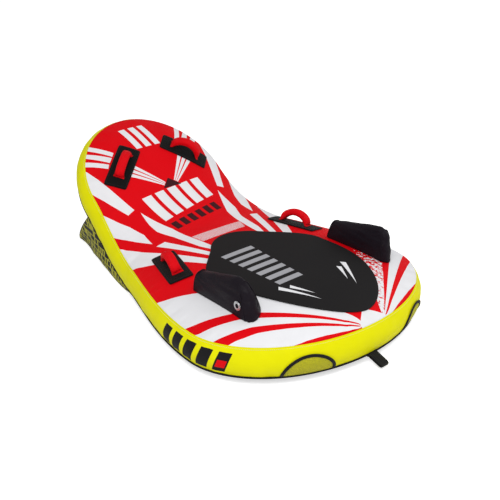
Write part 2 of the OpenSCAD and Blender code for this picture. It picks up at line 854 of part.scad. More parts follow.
drain_mesh(-1);  // right_drain_mesh
drain_binding(1);  // left_drain_binding
drain_binding(-1);  // right_drain_binding
tow_anchor();
tow_strap();
zip_tapes();
zip_coil();
zip_slider();
zip_pull();
main_valve_base();
main_valve_cap();
riser_valve_base();
riser_valve_cap();
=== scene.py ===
import math

import bmesh
import bpy
from mathutils import Matrix, Vector, noise
from mathutils.kdtree import KDTree


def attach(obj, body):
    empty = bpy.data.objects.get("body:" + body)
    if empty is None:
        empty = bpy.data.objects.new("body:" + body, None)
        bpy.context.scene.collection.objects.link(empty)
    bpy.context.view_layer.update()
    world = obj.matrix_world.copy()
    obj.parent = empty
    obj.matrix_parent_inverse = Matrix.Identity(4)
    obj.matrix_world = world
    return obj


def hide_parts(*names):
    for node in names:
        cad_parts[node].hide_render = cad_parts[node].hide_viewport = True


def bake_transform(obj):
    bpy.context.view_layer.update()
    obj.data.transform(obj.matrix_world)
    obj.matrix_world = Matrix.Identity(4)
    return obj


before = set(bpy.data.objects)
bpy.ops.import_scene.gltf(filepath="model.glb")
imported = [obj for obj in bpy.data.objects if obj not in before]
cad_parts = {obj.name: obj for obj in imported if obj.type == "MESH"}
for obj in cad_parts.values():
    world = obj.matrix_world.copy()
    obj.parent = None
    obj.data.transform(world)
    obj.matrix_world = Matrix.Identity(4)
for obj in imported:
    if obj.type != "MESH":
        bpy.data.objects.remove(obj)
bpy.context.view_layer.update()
scene = bpy.context.scene
print("frame loaded:", len(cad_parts), "nodes")

# The cover's shape: x across, s along the spine from the widest station, h above the deck plane, in metres.
cover = {
    "deckHalf": 0.610, "noseLen": 0.432, "backHalf": 0.392, "headLen": 0.423, "arcGap": 1.085,
    "deckHeight": 0.225, "crown": 0.032, "seamDrop": 0.047, "belly": 0.040, "flatShare": 0.7, "swell": 0.026,
    "bendRadius": 0.558, "recline": math.radians(38), "bendStart": 0.618,
}
bendEnd = cover["bendStart"] + cover["bendRadius"] * cover["recline"]
headTip = cover["arcGap"] + cover["headLen"]
seamHigh = -cover["seamDrop"]
seamLow = cover["belly"] - cover["deckHeight"]


def ease(t):
    t = min(max(t, 0.0), 1.0)
    return t * t * (3 - 2 * t)


def halfWidth(s):
    if s < 0:
        return cover["deckHalf"] * math.sqrt(max(0.0, 1 - (s / cover["noseLen"]) ** 2))
    if s > cover["arcGap"]:
        return cover["backHalf"] * math.sqrt(max(0.0, 1 - ((s - cover["arcGap"]) / cover["headLen"]) ** 2))
    return cover["deckHalf"] + (cover["backHalf"] - cover["deckHalf"]) * ease(s / cover["arcGap"])


def reach(x, s):
    if s < 0:
        return math.hypot(x / cover["deckHalf"], s / cover["noseLen"])
    if s > cover["arcGap"]:
        return math.hypot(x / cover["backHalf"], (s - cover["arcGap"]) / cover["headLen"])
    return abs(x) / halfWidth(s)


def topHeight(q):
    return cover["crown"] - (cover["crown"] + cover["seamDrop"]) * q ** 3


def lowHeight(q):
    return -cover["deckHeight"] + cover["belly"] * max(0.0, (q - cover["flatShare"]) / (1 - cover["flatShare"])) ** 2


def turnAt(s):
    return min(max((s - cover["bendStart"]) / cover["bendRadius"], 0.0), cover["recline"])


def bend(x, s, h):
    if s < cover["bendStart"]:
        return Vector((x, s, cover["deckHeight"] + h))
    turn, past, arm = turnAt(s), max(s - bendEnd, 0.0), cover["bendRadius"] - h
    return Vector((
        x,
        cover["bendStart"] + arm * math.sin(turn) + past * math.cos(cover["recline"]),
        cover["deckHeight"] + cover["bendRadius"] - arm * math.cos(turn) + past * math.sin(cover["recline"]),
    ))


def groundHeight(s):
    past = max(s - bendEnd, 0.0)
    return (cover["bendRadius"] - (cover["bendRadius"] + cover["deckHeight"]) / math.cos(turnAt(s))
            - past * math.tan(cover["recline"]))


def onTop(x, s, lift=0.0):
    return bend(x, s, topHeight(reach(x, s)) + lift)


def outAt(s):
    turn = turnAt(s)
    return Vector((0, -math.sin(turn), math.cos(turn)))


# Points at equal steps along a line of points.
def evenly(points, count):
    marks = [0.0]
    for a, b in zip(points, points[1:]):
        marks.append(marks[-1] + (b - a).length)
    spaced, i = [], 0
    for k in range(count):
        want = marks[-1] * k / (count - 1)
        while i < len(points) - 2 and marks[i + 1] < want:
            i += 1
        share = (want - marks[i]) / max(marks[i + 1] - marks[i], 1e-9)
        spaced.append(points[i].lerp(points[i + 1], min(max(share, 0.0), 1.0)))
    return spaced


def lengthOf(points):
    return sum((b - a).length for a, b in zip(points, points[1:]))


rimSteps = {"quarter": 60, "side": 80, "all": 721}


# The outline of the cover in x and s, from the head down the -X side, round the nose and up the +X side.
def rimOutline():
    quarter = [math.radians(90 * i / rimSteps["quarter"]) for i in range(rimSteps["quarter"] + 1)]
    sides = [cover["arcGap"] * i / rimSteps["side"] for i in range(1, rimSteps["side"] + 1)]
    half = [Vector((cover["deckHalf"] * math.sin(a), -cover["noseLen"] * math.cos(a), 0)) for a in quarter]
    half += [Vector((halfWidth(s), s, 0)) for s in sides]
    half += [Vector((cover["backHalf"] * math.cos(a), cover["arcGap"] + cover["headLen"] * math.sin(a), 0))
             for a in quarter[1:]]
    other = [Vector((-p.x, p.y, 0)) for p in reversed(half)]
    return evenly(other + half[1:], rimSteps["all"])


rim = rimOutline()
rimLength = lengthOf(rim)


# A place on the outline, with u from -1 at the head by way of the nose at 0 to 1, and the way out of the cover there.
def alongRim(u):
    f = (u + 1) / 2 * (len(rim) - 1)
    i = min(int(f), len(rim) - 2)
    p = rim[i].lerp(rim[i + 1], f - i)
    last = len(rim) - 1
    before = rim[i - 1] if i > 0 else rim[last - 1]
    after = rim[i + 2] if i + 2 <= last else rim[1]
    t = (after - before).normalized()
    return p, Vector((t.y, -t.x, 0))


# The place on the seam that a point of the top panel pulls towards, and how far away it is.
def seamAnchor(x, s):
    q = max(reach(x, s), 1e-4)
    if s < 0:
        p = Vector((x / q, s / q, 0))
        return p, (1 - q) * p.length
    if s > cover["arcGap"]:
        p = Vector((x / q, cover["arcGap"] + (s - cover["arcGap"]) / q, 0))
        return p, (1 - q) * (p - Vector((0, cover["arcGap"], 0))).length
    return Vector((math.copysign(halfWidth(s), x), s, 0)), (1 - q) * halfWidth(s)


# Sewn fabric under air pressure gathers into short folds that run away from the seam and die out.
gathers = {"height": 0.0042, "peak": 0.020, "count": 17.0, "finer": 2.3, "finerShare": 0.5, "swing": 0.0016,
           "swingCount": 3.2}


def gather(anchor, depth):
    fade = depth / gathers["peak"] * math.exp(1 - depth / gathers["peak"])
    place = anchor * gathers["count"]
    folds = noise.noise(place) + gathers["finerShare"] * noise.noise(place * gathers["finer"])
    return gathers["height"] * fade * folds


# Wide, low waves of the cloth between its seams.
def swing(p):
    return gathers["swing"] * noise.noise(p * gathers["swingCount"])


# Meshes

def toMesh(name, bm):
    mesh = bpy.data.meshes.new(name)
    bm.to_mesh(mesh)
    bm.free()
    return mesh


def addObject(name, data):
    item = bpy.data.objects.new(name, data)
    scene.collection.objects.link(item)
    return item


# A turn whose x, y and z run along three given directions.
def turnTo(x, y, z):
    return Matrix((x, y, z)).transposed().to_4x4()


# The flat pattern of a fabric, in metres, which its print and its threads follow.
def unroll(bm, flat):
    layer = bm.loops.layers.uv.new("flat")
    for face in bm.faces:
        for loop in face.loops:
            loop[layer].uv = flat(loop.vert.co)


def closeEnds(bm):
    bmesh.ops.holes_fill(bm, edges=[e for e in bm.edges if e.is_boundary], sides=0)


# A grid from -1 to 1 both ways, put in place by a function of its two coordinates.
def laidGrid(columns, rows, place, flat):
    bm = bmesh.new()
    bmesh.ops.create_grid(bm, x_segments=columns, y_segments=rows, size=1)
    unroll(bm, lambda co: flat(co.x, co.y))
    for vert in bm.verts:
        vert.co = place(vert.co.x, vert.co.y)
    bmesh.ops.remove_doubles(bm, verts=bm.verts, dist=1e-6)
    return bm


def squareToDisc(u, v):
    return u * math.sqrt(1 - v * v / 2), v * math.sqrt(1 - u * u / 2)


def rounded(angle, power):
    c, s = math.cos(angle), math.sin(angle)
    return math.copysign(abs(c) ** power, c), math.copysign(abs(s) ** power, s)


# A strip, cord or tube along a path: wide and tall are half sizes across and along the up direction.
def sweep(path, ups, wide, tall, power=1.0, sides=12, closed=False):
    count = len(path)
    rows = count if closed else count - 1
    girth = math.pi * (max(wide) + max(tall))
    long = lengthOf(path)

    def place(u, v):
        i = round((v + 1) / 2 * rows) % count
        after = path[(i + 1) % count] if closed else path[min(i + 1, count - 1)]
        before = path[i - 1] if closed else path[max(i - 1, 0)]
        ahead = (after - before).normalized()
        side = ahead.cross(ups[i]).normalized()
        a, b = rounded(math.pi * u, power)
        return path[i] + side * (a * wide[i]) + side.cross(ahead) * (b * tall[i])

    bm = laidGrid(sides, rows, place, lambda u, v: ((u + 1) / 2 * girth, (v + 1) / 2 * long))
    if not closed:
        closeEnds(bm)
    bmesh.ops.recalc_face_normals(bm, faces=bm.faces)
    return bm


# Short raised stitches along a path, a little wider than they are high.
stitch = {"pitch": 0.0075, "length": 0.0052, "half": 0.000715, "high": 0.00055}


def stitchRow(path, ups):
    bm = bmesh.new()
    count = max(2, round(lengthOf(path) / stitch["pitch"]))
    line = evenly(path, count + 1)
    tips = evenly([p + up for p, up in zip(path, ups)], count + 1)
    size = Matrix.Diagonal((stitch["length"] / 2, stitch["half"], stitch["high"], 1))
    for p, q, tip in zip(line, line[1:], tips):
        ahead = (q - p).normalized()
        side = ahead.cross(tip - p).normalized()
        place = Matrix.Translation((p + q) / 2) @ turnTo(ahead, side, ahead.cross(side))
        bmesh.ops.create_icosphere(bm, subdivisions=1, radius=1, matrix=place @ size)
    return bm


# The rider's left is +X. Paired pieces are made on that side and mirrored for the right.
handed = {"left": 1, "right": -1}


def mirrored(bm, side):
    if side < 0:
        bmesh.ops.scale(bm, vec=(-1, 1, 1), verts=bm.verts)
        bmesh.ops.reverse_faces(bm, faces=bm.faces)
    return bm


def addPiece(name, bm, material, nodes=(), body="root", thickness=0.0, crease=50):
    mesh = toMesh(name, bm)
    mesh.materials.append(material)
    mesh.shade_smooth()
    mesh.set_sharp_from_angle(angle=math.radians(crease))
    piece = addObject(name, mesh)
    if thickness:
        shell = piece.modifiers.new("cloth", "SOLIDIFY")
        shell.thickness = thickness
        shell.offset = -1
        shell.use_quality_normals = True
    if body:
        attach(piece, body)
    if nodes:
        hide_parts(*nodes)
    return piece


# Materials

def srgb(code):
    parts = [int(code[i:i + 2], 16) / 255 for i in (1, 3, 5)]
    return tuple(c / 12.92 if c <= 0.04045 else ((c + 0.055) / 1.055) ** 2.4 for c in parts) + (1.0,)


def addNode(tree, kind, inputs=None, **settings):
    node = tree.nodes.new(kind)
    for key, value in settings.items():
        setattr(node, key, value)
    for key, value in (inputs or {}).items():
        if isinstance(value, bpy.types.NodeSocket):
            tree.links.new(value, node.inputs[key])
        else:
            node.inputs[key].default_value = value
    return node


def newMaterial(name, settings):
    material = bpy.data.materials.new(name)
    material.use_nodes = True
    tree = material.node_tree
    tree.nodes.clear()
    shader = addNode(tree, "ShaderNodeBsdfPrincipled", settings)
    addNode(tree, "ShaderNodeOutputMaterial", {"Surface": shader.outputs["BSDF"]})
    return material, tree, shader


def flatCoordinates(tree):
    return addNode(tree, "ShaderNodeUVMap", uv_map="flat").outputs["UV"]


wavePeriod = 0.314  # length of one wave of the wave texture at scale 1


# Crossing threads at a real spacing, as a bump.
def weave(tree, shader, vector, pitch, depth, ribs=(1, 1)):
    heights = []
    for direction, share in zip(("X", "Y"), ribs):
        wave = addNode(tree, "ShaderNodeTexWave", {"Vector": vector, "Scale": wavePeriod / pitch},
                       wave_type="BANDS", bands_direction=direction, wave_profile="SIN")
        heights.append(addNode(tree, "ShaderNodeMath", {0: wave.outputs["Fac"], 1: share},
                               operation="MULTIPLY").outputs[0])
    total = addNode(tree, "ShaderNodeMath", {0: heights[0], 1: heights[1]}, operation="ADD").outputs[0]
    bump = addNode(tree, "ShaderNodeBump", {"Height": total, "Distance": depth, "Strength": 1.0})
    tree.links.new(bump.outputs["Normal"], shader.inputs["Normal"])


# Slow unevenness of dye and wear: clouds, so many to the metre, that darken a colour by up to a share.
def uneven(tree, shader, vector, colour, clouds, spread):
    cloud = addNode(tree, "ShaderNodeTexNoise", {"Vector": vector, "Scale": clouds, "Detail": 4.0})
    level = addNode(tree, "ShaderNodeMapRange", {"Value": cloud.outputs["Fac"], "From Min": 0.3, "From Max": 0.7,
                                                 "To Min": 1 - spread, "To Max": 1.0})
    shade = addNode(tree, "ShaderNodeMix", {0: 1.0, 6: colour, 7: level.outputs["Result"]},
                    data_type="RGBA", blend_type="MULTIPLY")
    tree.links.new(shade.outputs[2], shader.inputs["Base Color"])


red = srgb("#e4000f")
white = srgb("#f0f0f3")
yellow = srgb("#eeea00")
inkBlack = srgb("#1d1c1e")
darkInk = srgb("#40191e")


# 1 where a value lies between two limits, 0 elsewhere.
def between(tree, value, low, high):
    above = addNode(tree, "ShaderNodeMath", {0: value, 1: low}, operation="GREATER_THAN").outputs[0]
    below = addNode(tree, "ShaderNodeMath", {0: value, 1: high}, operation="LESS_THAN").outputs[0]
    return addNode(tree, "ShaderNodeMath", {0: above, 1: below}, operation="MULTIPLY").outputs[0]


def joined(tree, masks, operation):
    total = masks[0]
    for mask in masks[1:]:
        total = addNode(tree, "ShaderNodeMath", {0: total, 1: mask}, operation=operation).outputs[0]
    return total


# 1 inside a convex shape with corners in x and s, counted clockwise seen from above.
def inside(tree, vector, corners):
    masks = []
    for a, b in zip(corners, corners[1:] + corners[:1]):
        out = (a[1] - b[1], b[0] - a[0], 0)
        side = addNode(tree, "ShaderNodeVectorMath", {0: vector, 1: out}, operation="DOT_PRODUCT").outputs["Value"]
        masks.append(addNode(tree, "ShaderNodeMath", {0: side, 1: out[0] * a[0] + out[1] * a[1]},
                             operation="LESS_THAN").outputs[0])
    return joined(tree, masks, "MULTIPLY")


# Bars that follow each other along a value, with a start, a pitch and a filled share.
def barsAlong(tree, way, row):
    beat = addNode(tree, "ShaderNodeMath", {0: way, 1: row["start"]}, operation="SUBTRACT").outputs[0]
    beat = addNode(tree, "ShaderNodeMath", {0: beat, 1: row["pitch"]}, operation="DIVIDE").outputs[0]
    beat = addNode(tree, "ShaderNodeMath", {0: beat}, operation="FRACT").outputs[0]
    return addNode(tree, "ShaderNodeMath", {0: beat, 1: row["fill"]}, operation="LESS_THAN").outputs[0]


# A row of bars in a four-cornered field, with the direction in which they follow each other.
def rowMask(tree, vector, row):
    way = addNode(tree, "ShaderNodeVectorMath", {0: vector, 1: row["way"] + (0,)},
                  operation="DOT_PRODUCT").outputs["Value"]
    return joined(tree, [barsAlong(tree, way, row), inside(tree, vector, row["corners"])], "MULTIPLY")


printRows = {
    "middle": {"corners": [(-0.1965, 0.985), (0.170, 1.018), (0.192, 0.885), (-0.165, 0.80)],
               "pitch": 0.079, "fill": 0.70, "way": (1.0, 0.17), "start": -0.029},
    "head": {"corners": [(-0.085, 1.428), (0.065, 1.432), (0.084, 1.276), (-0.066, 1.272)],
             "pitch": 0.0573, "fill": 0.62, "way": (1.0, 0.12), "start": 0.0866},
    "hatch": {"corners": [(-0.147, 0.600), (0.152, 0.600), (0.128, 0.530), (-0.136, 0.523)],
              "pitch": 0.0085, "fill": 0.55, "way": (1.0, 0.15), "start": 0.0},
    "dark": {"corners": [(-0.156, 0.772), (0.159, 0.834), (0.166, 0.770), (-0.150, 0.712)],
             "pitch": 0.0569, "fill": 0.66, "way": (1.0, 0.1), "start": -0.0788},
}
darkWedge = [(0.0, 1.058), (0.056, 1.004), (-0.056, 1.004)]

# Sunburst of the nose, with left and right as seen from in front of it. Each edge is an angle in degrees counted from
# straight back, and a flare in degrees times metres that turns it close to the centre. On the left the rays hook back
# past a distance from the middle.
frontBurst = {"middle": 0.015, "centre": (0.075, -0.416), "hookFrom": 0.45, "hook": 22.0,
              "left": [(-52, 0), (35.6, -1.96), (47.6, -0.35), (51.3, 0), (57.0, 0.25), (60.8, 0.55), (74.6, 0.8)],
              "right": [(-52, 0), (33.6, -0.87), (46.9, 0), (51.5, 0), (57.0, 0.25), (60.8, 0.55), (69.6, 1.2)]}
# Long rays of the back: each has two edges in degrees and the stations between which it shows.
backBurst = {"centre": (0.0, -0.12), "rays": [((18.9, 22.1), (0.0, 0.657)), ((25.5, 30.2), (0.2, 9.0))]}
# White shapes of the back, with corners in the distance from the middle line and s.
backShapes = {
    "upperRay": [(0.262, 0.942), (0.375, 1.310), (0.440, 1.225), (0.302, 0.928)],
    "lowerRay": [(0.316, 0.690), (0.306, 0.776), (0.330, 0.862), (0.396, 0.990), (0.460, 1.000), (0.450, 0.918)],
    "flare": [(0.316, 0.420), (0.508, 0.760), (0.600, 0.760), (0.476, 0.612)],
    "innerTip": [(0.172, 0.730), (0.243, 0.912), (0.249, 0.820), (0.246, 0.755), (0.210, 0.660)],
    "innerFoot": [(0.144, 0.540), (0.172, 0.730), (0.210, 0.660), (0.182, 0.490), (0.150, 0.400), (0.131, 0.410)],
    "barHigh": [(0.192, 1.292), (0.300, 1.434), (0.322, 1.412), (0.210, 1.272)],
    "barMiddle": [(0.216, 1.266), (0.337, 1.384), (0.350, 1.362), (0.240, 1.242)],
    "barLow": [(0.248, 1.234), (0.3635, 1.335), (0.385, 1.311), (0.264, 1.212)],
}
# Short rays beside the dark wedge: their edges in degrees, and the distances between which they show.
wedgeBurst = {"centre": (-0.0195, 0.977), "rays": [(37.6, 42.2), (44.0, 48.4), (50.2, 54.8)],
              "reach": (0.075, 0.30)}


# Direction in degrees from straight back, and distance, of a place seen from a centre.
def polar(tree, x, s, centre):
    dx = addNode(tree, "ShaderNodeMath", {0: x, 1: centre[0]}, operation="SUBTRACT").outputs[0]
    ds = addNode(tree, "ShaderNodeMath", {0: s, 1: centre[1]}, operation="SUBTRACT").outputs[0]
    away = addNode(tree, "ShaderNodeCombineXYZ", {0: dx, 1: ds})
    far = addNode(tree, "ShaderNodeVectorMath", {0: away.outputs[0]}, operation="LENGTH").outputs["Value"]
    angle = addNode(tree, "ShaderNodeMath", {0: dx, 1: ds}, operation="ARCTAN2").outputs[0]
    angle = addNode(tree, "ShaderNodeMath", {0: angle, 1: 180 / math.pi}, operation="MULTIPLY").outputs[0]
    return angle, far


# White rays of the nose, and the field of the one ray that is speckled.
def frontMask(tree, plainX, s):
    x = addNode(tree, "ShaderNodeMath", {0: plainX, 1: frontBurst["middle"]}, operation="SUBTRACT").outputs[0]
    right = addNode(tree, "ShaderNodeMath", {0: x, 1: 0.0}, operation="GREATER_THAN").outputs[0]
    rate = -frontBurst["hook"]
    hook = addNode(tree, "ShaderNodeMath", {0: x, 1: rate, 2: rate * frontBurst["hookFrom"]},
                   operation="MULTIPLY_ADD").outputs[0]
    hook = addNode(tree, "ShaderNodeMath", {0: hook, 1: 0.0}, operation="MAXIMUM").outputs[0]
    x = addNode(tree, "ShaderNodeMath", {0: x}, operation="ABSOLUTE").outputs[0]
    angle, far = polar(tree, x, s, frontBurst["centre"])
    angle = addNode(tree, "ShaderNodeMath", {0: angle, 1: hook}, operation="SUBTRACT").outputs[0]
    nearness = addNode(tree, "ShaderNodeMath", {0: 1.0, 1: far}, operation="DIVIDE").outputs[0]
    sides = []
    for edges in (frontBurst["left"], frontBurst["right"]):
        total, past = 1.0, []
        for i, (limit, flare) in enumerate(edges):
            turned = addNode(tree, "ShaderNodeMath", {0: nearness, 1: -flare, 2: angle},
                             operation="MULTIPLY_ADD").outputs[0]
            past.append(addNode(tree, "ShaderNodeMath", {0: turned, 1: limit}, operation="GREATER_THAN").outputs[0])
            total = addNode(tree, "ShaderNodeMath", {0: past[-1], 1: 1 if i % 2 else -1, 2: total},
                            operation="MULTIPLY_ADD", use_clamp=True).outputs[0]
        sides.append(total)
    mask = addNode(tree, "ShaderNodeMix", {0: right, 2: sides[0], 3: sides[1]}, data_type="FLOAT").outputs[0]
    field = addNode(tree, "ShaderNodeMath", {0: past[1], 1: past[2]}, operation="SUBTRACT").outputs[0]
    return mask, joined(tree, [right, field], "MULTIPLY")


def backMask(tree, x, s, pair):
    masks = [inside(tree, pair, corners) for corners in backShapes.values()]
    angle = polar(tree, x, s, backBurst["centre"])[0]
    for edges, stations in backBurst["rays"]:
        masks.append(joined(tree, [between(tree, angle, *edges), between(tree, s, *stations)], "MULTIPLY"))
    angle, far = polar(tree, x, s, wedgeBurst["centre"])
    for edges in wedgeBurst["rays"]:
        masks.append(joined(tree, [between(tree, angle, *edges), between(tree, far, *wedgeBurst["reach"])], "MULTIPLY"))
    return joined(tree, masks, "MAXIMUM")


# Specks, 62 to the metre, in one white ray of the nose. They thicken from the nose towards the seat.
speckle = {"count": 62.0, "stations": (-0.40, 0.02), "levels": (0.60, 0.42)}
# Thread spacing of the coated polyester in metres, drawn coarser than it is so that it shows, and clouds to the metre.
coated = {"pitch": 0.0016, "clouds": 9.0}


# Coated polyester of the cover with its print: red ground, white rays and bars, a dull sheen and a fine weave.
def makePrintedCover():
    material, tree, shader = newMaterial("printedPolyester", {"Roughness": 0.6, "Specular IOR Level": 0.09})
    flat = flatCoordinates(tree)
    parts = addNode(tree, "ShaderNodeSeparateXYZ", {0: flat})
    s = parts.outputs["Y"]
    x = addNode(tree, "ShaderNodeMath", {0: parts.outputs["X"]}, operation="ABSOLUTE").outputs[0]
    pair = addNode(tree, "ShaderNodeCombineXYZ", {0: x, 1: s}).outputs[0]
    front, first = frontMask(tree, parts.outputs["X"], s)
    specks = addNode(tree, "ShaderNodeTexNoise", {"Vector": flat, "Scale": speckle["count"], "Detail": 3.0,
                                                  "Roughness": 0.7})
    (start, stop), (few, many) = speckle["stations"], speckle["levels"]
    amount = addNode(tree, "ShaderNodeMapRange", {"Value": s, "From Min": start, "From Max": stop,
                                                  "To Min": few, "To Max": many}).outputs["Result"]
    specks = addNode(tree, "ShaderNodeMath", {0: specks.outputs["Fac"], 1: amount}, operation="GREATER_THAN").outputs[0]
    specks = joined(tree, [specks, first], "MULTIPLY")
    front = addNode(tree, "ShaderNodeMath", {0: front, 1: specks}, operation="SUBTRACT").outputs[0]
    mask = joined(tree, [front, backMask(tree, x, s, pair)]
                  + [rowMask(tree, flat, printRows[name]) for name in ("middle", "head", "hatch")], "MAXIMUM")
    dark = joined(tree, [rowMask(tree, flat, printRows["dark"]), inside(tree, flat, darkWedge)], "MAXIMUM")
    ink = addNode(tree, "ShaderNodeMix", {0: mask, 6: red, 7: white}, data_type="RGBA").outputs[2]
    ink = addNode(tree, "ShaderNodeMix", {0: dark, 6: ink, 7: darkInk}, data_type="RGBA").outputs[2]
    uneven(tree, shader, flat, ink, coated["clouds"], spread=0.04)
    weave(tree, shader, flat, coated["pitch"], depth=0.00010)
    return material


# Fluorescent coated polyester of the side band, with a short row of slanted black bars on each front quarter
# and a small red mark on the first of them.
bandBars = {"start": 0.655, "end": 1.045, "pitch": 0.078, "fill": 0.68, "slant": 0.35, "heights": (0.020, 0.121),
            "accent": (0.662, 0.70), "accentHeights": (0.045, 0.085)}


def makeBand():
    material, tree, shader = newMaterial("yellowPolyester", {"Roughness": 0.58, "Specular IOR Level": 0.09})
    flat = flatCoordinates(tree)
    parts = addNode(tree, "ShaderNodeSeparateXYZ", {0: flat})
    way = addNode(tree, "ShaderNodeMath", {0: parts.outputs["X"]}, operation="ABSOLUTE").outputs[0]
    way = addNode(tree, "ShaderNodeMath", {0: parts.outputs["Y"], 1: bandBars["slant"], 2: way},
                  operation="MULTIPLY_ADD").outputs[0]
    bars = joined(tree, [barsAlong(tree, way, bandBars), between(tree, way, bandBars["start"], bandBars["end"]),
                         between(tree, parts.outputs["Y"], *bandBars["heights"])], "MULTIPLY")
    accent = joined(tree, [between(tree, way, *bandBars["accent"]),
                           between(tree, parts.outputs["Y"], *bandBars["accentHeights"])], "MULTIPLY")
    ink = addNode(tree, "ShaderNodeMix", {0: bars, 6: yellow, 7: inkBlack}, data_type="RGBA").outputs[2]
    ink = addNode(tree, "ShaderNodeMix", {0: accent, 6: ink, 7: red}, data_type="RGBA").outputs[2]
    uneven(tree, shader, flat, ink, coated["clouds"], spread=0.05)
    weave(tree, shader, flat, coated["pitch"], depth=0.00012)
    return material


# Coated polyester of the riser: olive yellow, with rows of broken black dashes of uneven length.
riserDashes = {"row": 0.030, "cell": 0.013, "fill": 0.80, "blank": 0.38}


def makeRiser():
    material, tree, shader = newMaterial("dashedPolyester", {"Roughness": 0.58, "Specular IOR Level": 0.22})
    flat = flatCoordinates(tree)
    parts = addNode(tree, "ShaderNodeSeparateXYZ", {0: flat})
    row = addNode(tree, "ShaderNodeMath", {0: parts.outputs["Y"], 1: riserDashes["row"]}, operation="DIVIDE").outputs[0]
    step = addNode(tree, "ShaderNodeMath", {0: parts.outputs["X"], 1: riserDashes["cell"]},
                   operation="DIVIDE").outputs[0]
    cell = addNode(tree, "ShaderNodeCombineXYZ", {
        0: addNode(tree, "ShaderNodeMath", {0: step}, operation="FLOOR").outputs[0],
        1: addNode(tree, "ShaderNodeMath", {0: row}, operation="FLOOR").outputs[0]})
    chance = addNode(tree, "ShaderNodeTexWhiteNoise", {"Vector": cell.outputs[0]},
                     noise_dimensions="2D").outputs["Value"]
    black = addNode(tree, "ShaderNodeMath", {0: chance, 1: riserDashes["blank"]}, operation="GREATER_THAN").outputs[0]
    line = addNode(tree, "ShaderNodeMath", {0: row}, operation="FRACT").outputs[0]
    line = addNode(tree, "ShaderNodeMath", {0: line, 1: riserDashes["fill"]}, operation="LESS_THAN").outputs[0]
    black = joined(tree, [black, line], "MULTIPLY")
    ink = addNode(tree, "ShaderNodeMix", {0: black, 6: srgb("#b4b02c"), 7: srgb("#121212")},
                  data_type="RGBA").outputs[2]
    uneven(tree, shader, flat, ink, clouds=8.0, spread=0.1)
    weave(tree, shader, flat, coated["pitch"], depth=0.00012)
    return material


# A plain fabric or webbing: one dyed colour, unevenness and threads.
def makeCloth(name, code, roughness, pitch, depth, ribs=(1, 1), sheen=0.04, spread=0.12, specular=0.11):
    material, tree, shader = newMaterial(name, {
        "Roughness": roughness, "Specular IOR Level": specular, "Sheen Weight": sheen, "Sheen Roughness": 0.4})
    flat = flatCoordinates(tree)
    uneven(tree, shader, flat, srgb(code), clouds=12.0, spread=spread)
    weave(tree, shader, flat, pitch, depth, ribs)
    return material


# Closed-cell foam sheet of the seat: dull, near black, with a pebbled skin and a few pale printed bars.
seatRows = {
    "pale": {"corners": [(-0.192, 0.346), (-0.010, 0.342), (-0.034, -0.054), (-0.170, -0.054)],
             "pitch": 0.057, "fill": 0.56, "way": (0.0, 1.0), "start": -0.052},
    "slash": [(0.186, -0.062), (0.204, -0.082), (0.106, -0.240)],
    "short": [(0.140, -0.084), (0.156, -0.100), (0.098, -0.196)],
}
seatSkin = {"count": 420.0, "depth": 0.0006}  # pebbles to the metre, 2.4 mm each, and their depth


def makeSeatFoam():
    material, tree, shader = newMaterial("closedCellFoam", {"Roughness": 0.8, "Specular IOR Level": 0.22})
    flat = flatCoordinates(tree)
    parts = addNode(tree, "ShaderNodeSeparateXYZ", {0: flat})
    x = addNode(tree, "ShaderNodeMath", {0: parts.outputs["X"]}, operation="ABSOLUTE").outputs[0]
    pair = addNode(tree, "ShaderNodeCombineXYZ", {0: x, 1: parts.outputs["Y"]}).outputs[0]
    pale = rowMask(tree, flat, seatRows["pale"])
    marks = joined(tree, [inside(tree, pair, seatRows["slash"]), inside(tree, pair, seatRows["short"])], "MAXIMUM")
    ink = addNode(tree, "ShaderNodeMix", {0: pale, 6: srgb("#181617"), 7: srgb("#a9a9ae")}, data_type="RGBA").outputs[2]
    ink = addNode(tree, "ShaderNodeMix", {0: marks, 6: ink, 7: white}, data_type="RGBA").outputs[2]
    uneven(tree, shader, flat, ink, clouds=6.0, spread=0.1)
    cells = addNode(tree, "ShaderNodeTexVoronoi", {"Vector": flat, "Scale": seatSkin["count"]}, feature="SMOOTH_F1")
    bump = addNode(tree, "ShaderNodeBump", {"Height": cells.outputs["Distance"], "Distance": seatSkin["depth"],
                                            "Strength": 0.7})
    tree.links.new(bump.outputs["Normal"], shader.inputs["Normal"])
    return material


# A hard or filmy material of one colour with a fine grain: moulded plastic, plated steel, vinyl film.
def makePlain(name, code, roughness, metallic=0.0, grain=900.0, depth=0.00003):
    material, tree, shader = newMaterial(name, {
        "Base Color": srgb(code), "Roughness": roughness, "Metallic": metallic, "Specular IOR Level": 0.45})
    place = addNode(tree, "ShaderNodeTexCoord").outputs["Object"]
    cloud = addNode(tree, "ShaderNodeTexNoise", {"Vector": place, "Scale": grain, "Detail": 2.0})
    bump = addNode(tree, "ShaderNodeBump", {"Height": cloud.outputs["Fac"], "Distance": depth, "Strength": 0.5})
    tree.links.new(bump.outputs["Normal"], shader.inputs["Normal"])
    return material


# Open knitted mesh of the drains: olive threads round holes, 190 to the metre (5.3 mm), a little uneven. The holes are
# painted dark olive, as painted shade of the hollow seen through them.
drainKnit = {"count": 190.0, "uneven": 0.25, "shadedHole": 0.33, "depth": 0.001}


